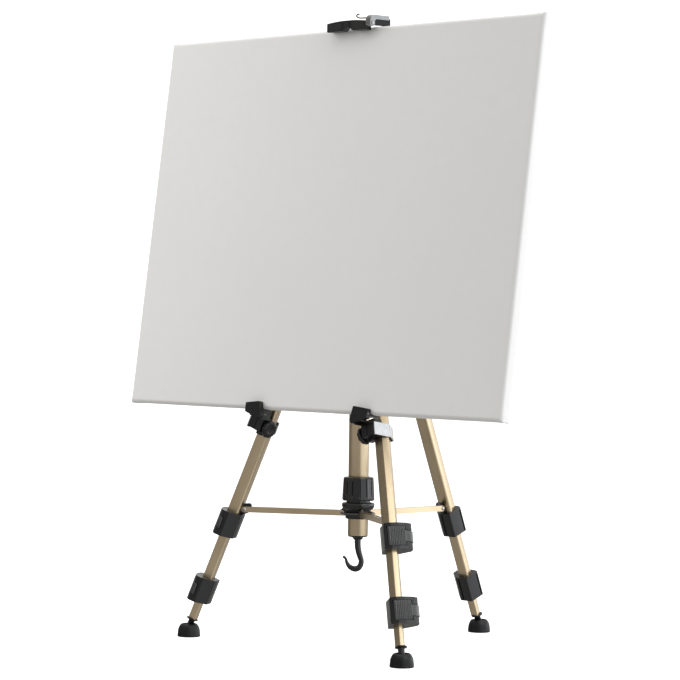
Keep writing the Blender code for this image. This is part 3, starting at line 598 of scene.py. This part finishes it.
def lobes(count, depth, edge):
    """A grip with round lobes on everything wider than edge."""
    def wobble(angle, r, z):
        if r < edge:
            return r
        return r - depth * (0.5 - 0.5 * math.cos(count * angle)) ** 1.6
    return wobble


add("collar_knob", turned("collar_knob", [
    (0, 37.2 * MM), (4 * MM, 37.3 * MM), (7.4 * MM, 38 * MM), (9.6 * MM, 37.4 * MM), (10.7 * MM, 36.2 * MM), (11 * MM, 34.8 * MM),
    (11 * MM, 27.4 * MM), (10.6 * MM, 25.6 * MM), (9 * MM, 24.3 * MM), (5.5 * MM, 24.2 * MM), (5.5 * MM, 19.2 * MM),
    (2.5 * MM, 19.2 * MM), (2.5 * MM, 10.4 * MM), (0, 10.4 * MM)], 96, wobble=lobes(7, 1.5 * MM, 8.6 * MM)),
    BASE @ Matrix.Translation((0, 0, 561 * MM)) @ Matrix.Rotation(-math.pi / 2, 4, "X"), PLASTIC,
    "mast_knob", "mast_lock_knob", sharp=45)


# ---------------------------------------------------------------- legs

LOCK = [(-13.5, -11.8), (11, -11.8), (14.0, -4), (14.6, 6), (13.0, 17), (8.5, 24.5), (-1, 24), (-13.5, 8.5)]
LOCK_ROUND = [2.5, 3.0, 2.0, 3.0, 3.0, 3.0, 4.0, 4.0]
GROOVES = [[(-14.5, 1.4), (-11.9, 1.8), (-11.9, 3.6), (-14.5, 4.0)], [(6.6, -13.0), (9.4, -13.0), (8.8, -9.8), (7.2, -9.8)]]
LEVER = [(13.2, -8.4), (14.5, -3), (15.2, 4), (14.5, 11), (12.9, 17.3), (10.2, 22.4), (7.0, 25.4)]
UPPER_LOCK, LOWER_LOCK = (345.4 * MM, 379.4 * MM), (441.0 * MM, 475.0 * MM)
TUBES = {"upper_tube": (0.0, 14.0 * MM, 370.0 * MM), "mid_tube": (1.55 * MM, 98.0 * MM, 464.0 * MM),
         "lower_tube": (3.1 * MM, 166.0 * MM, 500.6 * MM)}
CHANNEL_BODY = {"upper_tube": "leg", "mid_tube": "middle", "lower_tube": "lower"}
BALL = 514.9 * MM

lever_line = [(p.x * MM, p.y * MM) for p in smooth_line([(*p, 0) for p in LEVER + [(5.5, 26.8)]], 12)]
lever_far = [0.0]
for a, b in zip(lever_line, lever_line[1:]):
    lever_far.append(lever_far[-1] + math.dist(a, b))


def lever_mesh(name):
    """The flip lever: a curved plate, ribbed along the leg on its first half, with a narrow tab at its free end."""
    total = lever_far[-1]
    count = 150
    outer, inner = [], []
    for k in range(count + 1):
        far = total * k / count
        i = max(j for j in range(len(lever_far) - 1) if lever_far[j] <= far + 1e-12)
        t = (far - lever_far[i]) / (lever_far[i + 1] - lever_far[i])
        a, b = Vector(lever_line[i]), Vector(lever_line[i + 1])
        place, along = a.lerp(b, t), (b - a).normalized()
        across = Vector((along.y, -along.x))
        share = far / total
        rib = 0.0
        if 0.07 < share < 0.58:
            rib = 0.55 * MM * (0.5 - 0.5 * math.cos(2 * math.pi * (far - 0.07 * total) / (0.51 * total / 9))) ** 0.7
        tip = max(0.0, (share - 0.93) / 0.07)
        lead = max(0.0, (0.05 - share) / 0.05)
        outer.append(place - across * (rib + 0.9 * MM * tip ** 2 + 0.9 * MM * lead ** 2))
        inner.append(place - across * (3.0 * MM - 0.9 * MM * tip ** 2 - 0.6 * MM * lead ** 2))
    levels = [-12.5, -11.9, -7.4, -6.8, 6.8, 7.4, 11.9, 12.5]
    edit = bmesh.new()
    grid = {}
    shoulder = 0.60

    def vert(i, j, k):
        if (i, j, k) not in grid:
            place = (outer, inner)[k][i]
            if j in (0, len(levels) - 1) and k == 0 or (j in (2, 5) and k == 0 and i / count > shoulder):
                place = place.lerp(inner[i], 0.16)
            grid[i, j, k] = edit.verts.new((place.x, place.y, levels[j] * MM))
        return grid[i, j, k]

    def filled(i, j):
        if not (0 <= i < count and 0 <= j < len(levels) - 1):
            return False
        return (i + 0.5) / count < shoulder or 2 <= j <= 4

    for i in range(count):
        for j in range(len(levels) - 1):
            if not filled(i, j):
                continue
            edit.faces.new((vert(i, j, 0), vert(i + 1, j, 0), vert(i + 1, j + 1, 0), vert(i, j + 1, 0)))
            edit.faces.new((vert(i, j, 1), vert(i, j + 1, 1), vert(i + 1, j + 1, 1), vert(i + 1, j, 1)))
            for di, dj, (a, b) in ((-1, 0, ((i, j), (i, j + 1))), (1, 0, ((i + 1, j), (i + 1, j + 1))),
                                   (0, -1, ((i, j), (i + 1, j))), (0, 1, ((i, j + 1), (i + 1, j + 1)))):
                if not filled(i + di, j + dj):
                    edit.faces.new((vert(*a, 0), vert(*b, 0), vert(*b, 1), vert(*a, 1)))
    bmesh.ops.recalc_face_normals(edit, faces=edit.faces)
    mesh = bpy.data.meshes.new(name)
    edit.to_mesh(mesh)
    edit.free()
    return mesh


def pocket(limit=None):
    """The room behind the lever, as an outline; limit ends it before the lever's tab."""
    line = [(x, y) for x, y in shifted([(x * MM, y * MM) for x, y in LEVER], -3.5 * MM)]
    line[0], line[1] = (7.6 * MM, -9.7 * MM), (8.6 * MM, -4.0 * MM)
    if limit is None:
        line.append((line[-1][0] - 1.6 * MM, line[-1][1] + 1.5 * MM))
        return line + [(40 * MM, 34 * MM), (40 * MM, -9.7 * MM)]
    kept = [p for p in line if p[1] < limit - 1 * MM]
    nxt = line[len(kept)]
    t = (limit - kept[-1][1]) / (nxt[1] - kept[-1][1])
    kept.append((kept[-1][0] + (nxt[0] - kept[-1][0]) * t, limit))
    return kept + [(40 * MM, limit), (40 * MM, -9.7 * MM)]


LUG = [(4.0, -9.5), (4.0, 6.0), (3.2, 7.3), (-3.4, 10.4), (-6.0, 9.3), (-8.0, 4.2), (-5.5, -3.0), (-0.2, -7.6), (-0.2, -9.5)]
out, down = 156 * MM - HINGE_R, HINGE_Z - STRUT_Z
PIN_RHO = out * math.cos(SPLAY) - down * math.sin(SPLAY)
PIN_STATION = out * math.sin(SPLAY) + down * math.cos(SPLAY)

for side in AZIMUTH:
    leg = LEG[side]
    for name, (inset, top, low) in TUBES.items():
        add(f"{name}_shell_{side}", prism(name, tube_section(inset), -low, -top, [tube_section(inset + 1.2 * MM)]), leg,
            GOLD_LEG[side], f"{CHANNEL_BODY[name]}_{side}", f"{name}_{side}", sharp=25)

    for name, (top, low), inset, body in (("upper", UPPER_LOCK, 0.0, "leg"), ("lower", LOWER_LOCK, 1.55 * MM, "middle")):
        middle, half = (top + low) / 2, (low - top) / 2
        seat = {"upper": 370.0 * MM, "lower": 464.0 * MM}[name]
        outline = rounded([(x * MM, y * MM) for x, y in LOCK], [r * MM for r in LOCK_ROUND], 6)
        here = Matrix.Identity(4)
        steps = [
            (prism("seat", tube_section(inset - RUN), middle - seat - RUN, half + 5 * MM), here, "DIFFERENCE"),
            (prism("pocket", pocket(15.6 * MM), -12.9 * MM, 12.9 * MM), here, "DIFFERENCE"),
            (prism("tab_way", pocket(), -7.9 * MM, 7.9 * MM), here, "DIFFERENCE"),
        ] + [(prism("groove", [(x * MM, y * MM) for x, y in line], -half + 2.2 * MM, half - 2.2 * MM), here, "DIFFERENCE") for line in GROOVES]
        if name == "upper":
            lug = prism("lug", rounded([(x * MM, y * MM) for x, y in LUG],
                                       [0, 1 * MM, 1 * MM, 1.5 * MM, 1.5 * MM, 2 * MM, 2 * MM, 0, 0], 5), -1.7 * MM, 1.7 * MM)
            steps.append((lug, Matrix.Translation((PIN_RHO, 0, middle - PIN_STATION)) @ UPRIGHT, "UNION"))
        mesh = combined(f"{name}_lock", prism(f"{name}_lock", outline, -half, half, [tube_section(inset + 1.25 * MM)]), *steps)
        place = leg @ Matrix.Translation((0, 0, -middle))
        add(f"{name}_lock_{side}", mesh, place, PLASTIC, f"{body}_{side}", f"{name}_lock_body_{side}",
            bevel=0.55 * MM, sharp=40)
        add(f"{name}_flip_{side}", lever_mesh(f"{name}_flip"), place, LEVER_BLACK, f"{name}_lever_{side}",
            f"{name}_lock_lever_{side}", sharp=38)

    ball = leg @ Matrix.Translation((0, 0, -BALL))
    neck, ball_r = BALL - 500.6 * MM, 6.0 * MM
    sphere = [(ball_r * math.cos(a), ball_r * math.sin(a)) for a in (math.radians(45.5 - 135.5 * k / 14) for k in range(14))]
    add(f"stud_{side}", turned(f"stud_{side}", [
        (0, neck + 16 * MM), (2.6 * MM, neck + 16 * MM), (2.6 * MM, neck - RUN), (7.2 * MM, neck - RUN), (7.8 * MM, neck - 0.8 * MM),
        (7.8 * MM, neck - 1.8 * MM), (7.3 * MM, neck - 2.3 * MM), (4.8 * MM, neck - 2.7 * MM), (4.25 * MM, neck - 3.6 * MM), *sphere, (0, -ball_r)], 48),
        ball, PLASTIC, f"lower_{side}", f"foot_stud_{side}")
    ball_z = HINGE_Z - BALL * math.cos(SPLAY)
    cup = ball_r + RUN
    socket = [(0, -cup)] + [(cup * math.cos(a), cup * math.sin(a)) for a in (math.radians(-90 + 99 * k / 10) for k in range(1, 11))]
    bell = smooth_line([(9.6, 5.4, 0), (10.3, 5.1, 0), (11.6, 3.9, 0), (12.9, 1.9, 0), (13.9, -0.3, 0), (14.6, -2.8, 0), (15.1, -7.4, 0), (15.3, -10.2, 0)], 3)
    add(f"rubber_foot_{side}", turned(f"rubber_foot_{side}", socket + [(8.9 * MM, 4.9 * MM), (9.1 * MM, 5.3 * MM)] + [(p.x * MM, p.y * MM) for p in bell] + [
        (15.3 * MM, 0.9 * MM - ball_z), (15.1 * MM, 0.4 * MM - ball_z), (14.5 * MM, -ball_z), (0, -ball_z)], 72),
        ball @ Matrix.Rotation(SPLAY, 4, "Y"), RUBBER, f"foot_{side}", f"foot_{side}", sharp=45)


# ---------------------------------------------------------------- board: stretched canvas on wooden bars

FOLD_H = 3.0


def canvas_mesh():
    """Canvas over the front, round the edges and a strip of the back; slightly full at the corners."""
    section = [(60, 0.0), (24, 0.0), (9, 0.0), (6, 0.0)]
    section += [(4.8 - 4.8 * math.sin(a), 4.8 - 4.8 * math.cos(a)) for a in (math.radians(9 * k) for k in range(11))]
    section += [(-0.1, 7), (-0.1, 11)]
    section += [(1.4 - 1.4 * math.cos(a), 14.6 + 1.4 * math.sin(a)) for a in (math.radians(22.5 * k) for k in range(5))]
    section += [(5, 16.0), (13, 16.05), (25, 16.0)]
    half_w, half_h = BOARD_W / 2 / MM, BOARD_H / 2 / MM
    edit = bmesh.new()
    rings = []
    for inset, depth in section:
        w, h = half_w - inset, half_h - inset
        corner = max(0.6, 1.6 - inset * 0.2) if inset < 30 else 0.6
        line = rounded([(-w, -h), (w, -h), (w, h), (-w, h)], corner, 4)
        ring = []
        for i, (x, z) in enumerate(line):
            nx, nz = line[(i + 1) % len(line)]
            parts = 44 if math.dist((x, z), (nx, nz)) > 100 else 1
            ring += [(x + (nx - x) * k / parts, z + (nz - z) * k / parts) for k in range(parts)]
        row = []
        for x, z in ring:
            near = max(0.0, 1 - (half_w - abs(x)) / 26) * max(0.0, 1 - (half_h - abs(z)) / 26)
            full = 1.1 * near ** 3 if inset < 12 else 0.0
            x += math.copysign(full, x)
            z += math.copysign(full, z)
            z += FOLD_H * min(1.0, max(0.0, (z - half_h + 60) / 40))
            row.append(edit.verts.new((x * MM, depth * MM, (z + half_h) * MM)))
        rings.append(row)
    for a, b in zip(rings, rings[1:]):
        for k in range(len(a)):
            n = (k + 1) % len(a)
            edit.faces.new((a[k], a[n], b[n], b[k]))
    edit.faces.new(rings[0])
    bmesh.ops.recalc_face_normals(edit, faces=edit.faces)
    mesh = bpy.data.meshes.new("canvas_sheet")
    edit.to_mesh(mesh)
    edit.free()
    return mesh


sheet = add("canvas_sheet", canvas_mesh(), BOARD, CANVAS, "mast", "canvas_board", sharp=60)
skin = sheet.modifiers.new("cloth", "SOLIDIFY")
skin.thickness = 0.5 * MM
skin.offset = -1

BAR_W, FRONT, BACK = 39.0 * MM, 0.8 * MM, 15.3 * MM
half_w, high = BOARD_W / 2 - 0.9 * MM, BOARD_H + (FOLD_H - 0.9) * MM
low = 0.9 * MM
for name, corners, material in (
    ("bar_top", [(-half_w, high), (half_w, high), (half_w - BAR_W, high - BAR_W), (-half_w + BAR_W, high - BAR_W)], PINE_X),
    ("bar_bottom", [(-half_w, low), (half_w, low), (half_w - BAR_W, low + BAR_W), (-half_w + BAR_W, low + BAR_W)], PINE_X),
    ("bar_left", [(-half_w, low), (-half_w, high), (-half_w + BAR_W, high - BAR_W), (-half_w + BAR_W, low + BAR_W)], PINE_Z),
    ("bar_right", [(half_w, low), (half_w, high), (half_w - BAR_W, high - BAR_W), (half_w - BAR_W, low + BAR_W)], PINE_Z),
):
    add(name, prism(name, corners, -BACK, -FRONT), BOARD @ UPRIGHT, material, "mast", bevel=2.6 * MM, segments=3)

staples = []
for k in range(-4, 5):
    for z in (13.0, 487.0):
        staples.append((k * 76.0, z, 0))
for k in range(-2, 3):
    for x in (-337.0, 337.0):
        staples.append((x, 250 + k * 84.0, 90))
made = []
for x, z, turn in staples:
    line = [(-5.0, 0.15, 0), (-4.9, 0.5, 0), (-4.2, 0.62, 0), (4.2, 0.62, 0), (4.9, 0.5, 0), (5.0, 0.15, 0)]
    place = Matrix.Translation((x * MM, 16.05 * MM, z * MM)) @ Matrix.Rotation(math.radians(turn), 4, "Y")
    made.append((bar("staple", [Vector(p) * MM for p in line], [0.42 * MM] * 6, 8), place))
add("staples", joined(made), BOARD, CHROME, "mast", sharp=50)


# ---------------------------------------------------------------- supports

LIP_X = (88.8, 114.7)
LIP_FACE = [(88.5, -13.0), (84.4, -9.0), (88.8, 9.5), (114.7, 7.0), (114.7, -5.0)]
SUPPORT_Z = 287.0 * MM
for side, hand in (("left", -1), ("right", 1)):
    turn = math.radians(AZIMUTH[side])
    station = (HINGE_Z - SUPPORT_Z) / math.cos(SPLAY)
    yaw = -hand * math.atan2(math.cos(math.radians(30)), math.sin(math.radians(30)) * math.cos(SPLAY))
    r = HINGE_R + station * math.sin(SPLAY)
    support = (BASE @ Matrix.Translation((r * math.cos(turn), r * math.sin(turn), SUPPORT_Z)) @ Matrix.Rotation(turn, 4, "Z")
               @ Matrix.Rotation(-SPLAY, 4, "Y") @ Matrix.Rotation(yaw, 4, "Z"))

    def inward(points):
        return [(x * MM, -hand * y * MM) for x, y in points]

    block = prism("block", rounded(inward(box(9.2, 25.5, -9.6, 13.7)), 1.5 * MM, 4), -10.5 * MM, 9 * MM)
    toe = prism("toe", rounded(inward(box(9.8, 17.5, 1, 10.5)), 1.0 * MM, 3), -15.5 * MM, -10 * MM)
    seam = prism("seam", inward([(27, 1.8), (27, 3.4), (24.6, 3.0), (24.6, 2.2)]), -12 * MM, 10 * MM)
    block = combined("block", block, (toe, Matrix.Identity(4), "UNION"), (seam, Matrix.Identity(4), "DIFFERENCE"))
    block.transform(support)
    screw = support @ Matrix.Translation((14.5 * MM, -hand * 6.0 * MM, -3.5 * MM)) @ Matrix.Rotation(hand * math.pi / 2, 4, "X")

    def plate(name, x0, x1, outline):
        near, far = sorted((hand * x0 * MM, hand * x1 * MM))
        return (prism(name, [(y * MM, z * MM) for y, z in outline], near, far), LIP @ SIDEWAYS, "UNION")

    lip = prism("lip", rounded([(hand * x * MM, z * MM) for x, z in LIP_FACE], 1.2 * MM, 4), 1.2 * MM, 7.8 * MM)
    mesh = combined(
        f"support_{side}", block,
        (lip, LIP @ UPRIGHT, "UNION"),
        plate("ledge_top", LIP_X[0], LIP_X[1], box(-7.0, 15.0, -3.0, -0.4)),
        (prism("ledge_low", [(hand * x * MM, y * MM) for x, y in ((LIP_X[0], -7), (100, -7), (LIP_X[1], 5), (LIP_X[1], 15), (LIP_X[0], 15))],
               -9.5 * MM, -7.2 * MM), LIP, "UNION"),
        plate("ledge_wall", LIP_X[0], LIP_X[0] + 3.2, [(-7.0, -0.5), (-7.0, -12.0), (-2.0, -14.0), (15.0, -14.0), (15.0, -0.5)]),
        plate("ledge_rib", LIP_X[0] + 1, LIP_X[1] - 9, box(-7.0, -1.0, -9.4, -0.5)),
        (prism("hole", circle(2.8 * MM, steps=24), 0.8 * MM, 30 * MM), screw, "DIFFERENCE"),
    )
    add(f"support_{side}_jaw", mesh, Matrix.Identity(4), PLASTIC, f"support_{side}", f"support_body_{side}",
        bevel=0.45 * MM, sharp=40)
    rivets = []
    for x, y, z, way in ((LIP_X[0], 5.5, -7.0, -1), (LIP_X[1], -4.5, 0.6, 1)):
        dome = turned("rivet", [(0, 0.9 * MM), (0.9 * MM, 0.82 * MM), (1.6 * MM, 0.5 * MM), (2.0 * MM, 0.0), (2.0 * MM, -0.4 * MM), (0, -0.4 * MM)], 28)
        rivets.append((dome, LIP @ Matrix.Translation((hand * x * MM, y * MM, z * MM)) @ Matrix.Rotation(hand * way * math.pi / 2, 4, "Y")))
    add(f"support_{side}_rivets", joined(rivets), Matrix.Identity(4), DULL, f"support_{side}")

    path = rounded(inward([(25.3, -10.8), (-2.6, -10.8), (-17.2, 0.4), (-13.4, 5.4)]), [0, 8.0 * MM, 2.4 * MM, 0], 14)
    strap = prism("strap", shifted(path, 0.8 * MM) + shifted(path, -0.8 * MM)[::-1], -12 * MM, 5 * MM)
    add(f"support_{side}_band", strap, support, SATIN, f"support_{side}", f"support_strap_{side}", bevel=0.35 * MM, sharp=50)

    knob = turned("knob", [
        (0, 15.5 * MM), (4.4 * MM, 15.6 * MM), (5.4 * MM, 16.2 * MM), (8.8 * MM, 16.2 * MM), (10.8 * MM, 15.8 * MM), (11.6 * MM, 14.9 * MM),
        (11.8 * MM, 13.8 * MM), (11.8 * MM, 12.3 * MM), (11.3 * MM, 11.2 * MM), (10.0 * MM, 10.6 * MM), (6.0 * MM, 10.5 * MM), (4.6 * MM, 10.1 * MM),
        (4.2 * MM, 9.2 * MM), (4.2 * MM, 8.1 * MM), (2.5 * MM, 8.1 * MM), (2.5 * MM, 1.4 * MM), (0, 1.4 * MM)], 96, wobble=lobes(10, 0.7 * MM, 9.0 * MM))
    add(f"support_{side}_grip", knob, screw, PLASTIC, f"support_knob_{side}", f"support_knob_{side}", sharp=45)


# ---------------------------------------------------------------- top clamp

keep("clamp_head", RUBBER, 0.9 * MM)
keep("clamp_bracket", DULL_CHROME, 0.3 * MM, 50)


def jaw_mesh():
    """The jaw bar: two lobes with ribs across the front, a round boss between them and an arch under the boss."""
    low_x, high_x = -36.0, 37.6
    stations = 150
    edit = bmesh.new()
    rows = []

    def bump(x, centre, width):
        t = (x - centre) / width
        return (1 - t * t) ** 2 if abs(t) < 1 else 0.0

    def step(x, a, b, soft):
        def s(v):
            v = min(1.0, max(0.0, v))
            return v * v * (3 - 2 * v)
        return s((x - a) / soft) * s((b - x) / soft)

    for i in range(stations + 1):
        x = low_x + (high_x - low_x) * i / stations
        end = min(x - low_x, high_x - x)
        inset = 1.1 * (1 - math.sqrt(max(0.0, 1 - (1 - min(1.0, end / 1.4)) ** 2)))
        top = 5.9 - 2.2 * ((x - 2.0) / 36.0) ** 2 - inset
        floor = -8.2 + 4.6 * bump(x, 2.6, 11.5) + inset
        rib = 0.8 * (step(x, -35.0, -7.0, 3.0) + step(x, 9.0, 36.4, 3.0))
        front = -3.4 + inset * 0.8 + 1.2 * bump(x, 3.4, 7.0)
        row = []
        for k in range(61):
            t = k / 60
            z = floor + (top - floor) * t
            edge = min(t, 1 - t)
            soft = 1.3 * (1 - math.sqrt(max(0.0, 1 - (1 - min(1.0, edge / 0.09)) ** 2)))
            tooth = ((z + 8.2) / 2.9) % 1.0
            wave = rib * (tooth / 0.62 if tooth < 0.62 else (1 - tooth) / 0.38)
            row.append((front + soft + wave * (1 if 0.05 < t < 0.95 else 0), z))
        back_low, back_high = 7.0 - inset, 2.5 - inset * 0.5
        row += [(3.6, top - 0.15), (4.6, top - 0.5), (back_low - 0.3, back_high + 0.3), (back_low, back_high - 0.4), (back_low, floor + 0.6), (back_low - 0.6, floor)]
        rows.append([edit.verts.new((x * MM, y * MM, z * MM)) for y, z in row])
    for a, b in zip(rows, rows[1:]):
        for k in range(len(a)):
            n = (k + 1) % len(a)
            edit.faces.new((a[k], a[n], b[n], b[k]))
    edit.faces.new(rows[0][::-1])
    edit.faces.new(rows[-1])
    bmesh.ops.recalc_face_normals(edit, faces=edit.faces)
    mesh = bpy.data.meshes.new("jaw")
    edit.to_mesh(mesh)
    edit.free()
    return mesh


JAW = BASE @ Matrix.Translation((0, *JAW_PIN))
add("jaw", jaw_mesh(), JAW, PLASTIC_GLOSS, "jaw", "clamp_jaw", sharp=50)
add("jaw_pin", turned("jaw_pin", [
    (0, 47.9 * MM), (1.6 * MM, 47.9 * MM), (2.0 * MM, 47.5 * MM), (2.0 * MM, 35.4 * MM), (0, 35.4 * MM)], 28),
    JAW @ Matrix.Rotation(math.pi / 2, 4, "Y"), CHROME, "jaw")

spring_line = smooth_line([
    (37.6, -21, 818.2), (31, -21.4, 818.0), (22, -22, 818.0), (14.5, -22.6, 818.4), (10.4, -23, 819.8),
    (9.2, -23, 821.6), (10.8, -22.8, 823.2), (13.6, -22.6, 823.4),
], 6)
add("spring_wire", bar("spring_wire", [p * MM for p in spring_line], [0.9 * MM] * len(spring_line), 12), BASE, DARK_STEEL,
    "mast", "clamp_spring", sharp=60)


# ---------------------------------------------------------------- studio

floor_mesh = bpy.data.meshes.new("floor")
edit = bmesh.new()
bmesh.ops.create_grid(edit, x_segments=8, y_segments=8, size=90)
edit.to_mesh(floor_mesh)
edit.free()
floor = bpy.data.objects.new("floor", floor_mesh)
bpy.context.scene.collection.objects.link(floor)
pale = Nodes("pale_floor", roughness=0.9, specular=0.1)
pale.colour(pale.ramp(pale.noise(0.6), (0.50, 0.50, 0.50), (0.52, 0.52, 0.52)))
pale.shader.inputs["Emission Color"].default_value = (1, 1, 1, 1)
pale.shader.inputs["Emission Strength"].default_value = 0.85
floor.visible_diffuse = False
floor.visible_glossy = False
floor.visible_shadow = False
floor_mesh.materials.append(pale.made)

world = bpy.data.worlds.new("studio")
bpy.context.scene.world = world
world.use_nodes = True
tree = world.node_tree
sky = tree.nodes["Background"]
sky.inputs["Color"].default_value = (1, 1, 1, 1)
direction = tree.nodes.new("ShaderNodeTexCoord").outputs["Generated"]


def lobe(towards, start, end, first, last):
    """A soft patch on the wall: grey first outside the cosine start, grey last inside the cosine end."""
    dot = tree.nodes.new("ShaderNodeVectorMath")
    dot.operation = "DOT_PRODUCT"
    dot.inputs[1].default_value = Vector(towards).normalized()
    tree.links.new(direction, dot.inputs[0])
    ramp = tree.nodes.new("ShaderNodeMapRange")
    ramp.interpolation_type = "SMOOTHSTEP"
    for key, number in (("From Min", start), ("From Max", end), ("To Min", first), ("To Max", last)):
        ramp.inputs[key].default_value = number
    tree.links.new(dot.outputs["Value"], ramp.inputs["Value"])
    return ramp.outputs["Result"]


def both(a, b, how):
    node = tree.nodes.new("ShaderNodeMath")
    node.operation = how
    tree.links.new(a, node.inputs[0])
    tree.links.new(b, node.inputs[1])
    return node.outputs["Value"]


walls = both(lobe((0, 0, 1), -0.25, 0.0, 0.38, 0.46), lobe((-0.95, -0.30, 0.05), 0.80, 0.95, 1.0, 0.38), "MULTIPLY")
walls = both(walls, lobe((0.95, 0.22, 0.22), 0.57, 0.80, 0.0, 0.85), "ADD")
walls = both(walls, lobe((-0.02, 0.96, 0.29), 0.85, 0.96, 0.0, 0.5), "ADD")
walls = both(walls, lobe((0, 0, 1), 0.60, 0.90, 0.0, 0.6), "ADD")
walls = both(walls, lobe((-0.724, 0.689, 0.05), 0.90, 0.975, 0.0, 1.0), "ADD")
tree.links.new(walls, sky.inputs["Strength"])
cool = both(lobe((0.95, 0.22, 0.22), 0.57, 0.80, 0.0, 1.0), lobe((-0.02, 0.96, 0.29), 0.85, 0.96, 0.0, 1.0), "MAXIMUM")
tint = tree.nodes.new("ShaderNodeValToRGB")
tint.color_ramp.elements[0].color = (1.0, 0.98, 0.945, 1)
tint.color_ramp.elements[1].color = (0.95, 0.985, 1.0, 1)
tree.links.new(cool, tint.inputs["Fac"])
tree.links.new(tint.outputs["Color"], sky.inputs["Color"])


def softbox(name, place, aim, size, power):
    lamp = bpy.data.lights.new(name, "AREA")
    lamp.shape = "RECTANGLE"
    lamp.size, lamp.size_y = size
    lamp.energy = power
    made = bpy.data.objects.new(name, lamp)
    made.location = place
    made.rotation_euler = (Vector(aim) - Vector(place)).to_track_quat("-Z", "Y").to_euler()
    bpy.context.scene.collection.objects.link(made)
    return made


softbox("key_low", (0.75, 1.45, 0.30), (0, 0, 0.28), (1.4, 0.6), 4)
softbox("key_high", (2.3, 0.1, 2.1), (0, 0, 0.25), (1.6, 1.2), 12)
softbox("rim_right", (1.1, 2.1, 0.8), (0, 0, 0.35), (2.6, 1.8), 44).visible_glossy = False
softbox("fill_left", (-2.0, -1.1, 1.6), (-0.2, 0, 0.5), (1.5, 1.6), 42).visible_glossy = False
softbox("bounce", (0, -0.3, -1.2), (0, -0.3, 0), (5, 5), 20).visible_glossy = False
overhead = bpy.data.lights.new("overhead", "SUN")
overhead.energy = 0.6
overhead.angle = math.radians(70)
overhead_lamp = bpy.data.objects.new("overhead", overhead)
overhead_lamp.location = (0, 0, 4)
bpy.context.scene.collection.objects.link(overhead_lamp)

camera_data = bpy.data.cameras.new("camera")
camera_data.sensor_width = 36.0
camera_data.lens = 150.6
camera_data.clip_end = 200
camera = bpy.data.objects.new("camera", camera_data)
bpy.context.scene.collection.objects.link(camera)
spin = Matrix.Rotation(math.radians(46.42), 4, "Z") @ Matrix.Rotation(math.radians(89.19), 4, "X") @ Matrix.Rotation(math.radians(0.74), 4, "Z")
camera.matrix_world = Matrix.Translation((COLUMN_X + 2.682, COLUMN_Y - 2.589, 0.452)) @ spin
bpy.context.scene.camera = camera
bpy.context.scene.view_settings.view_transform = "Standard"
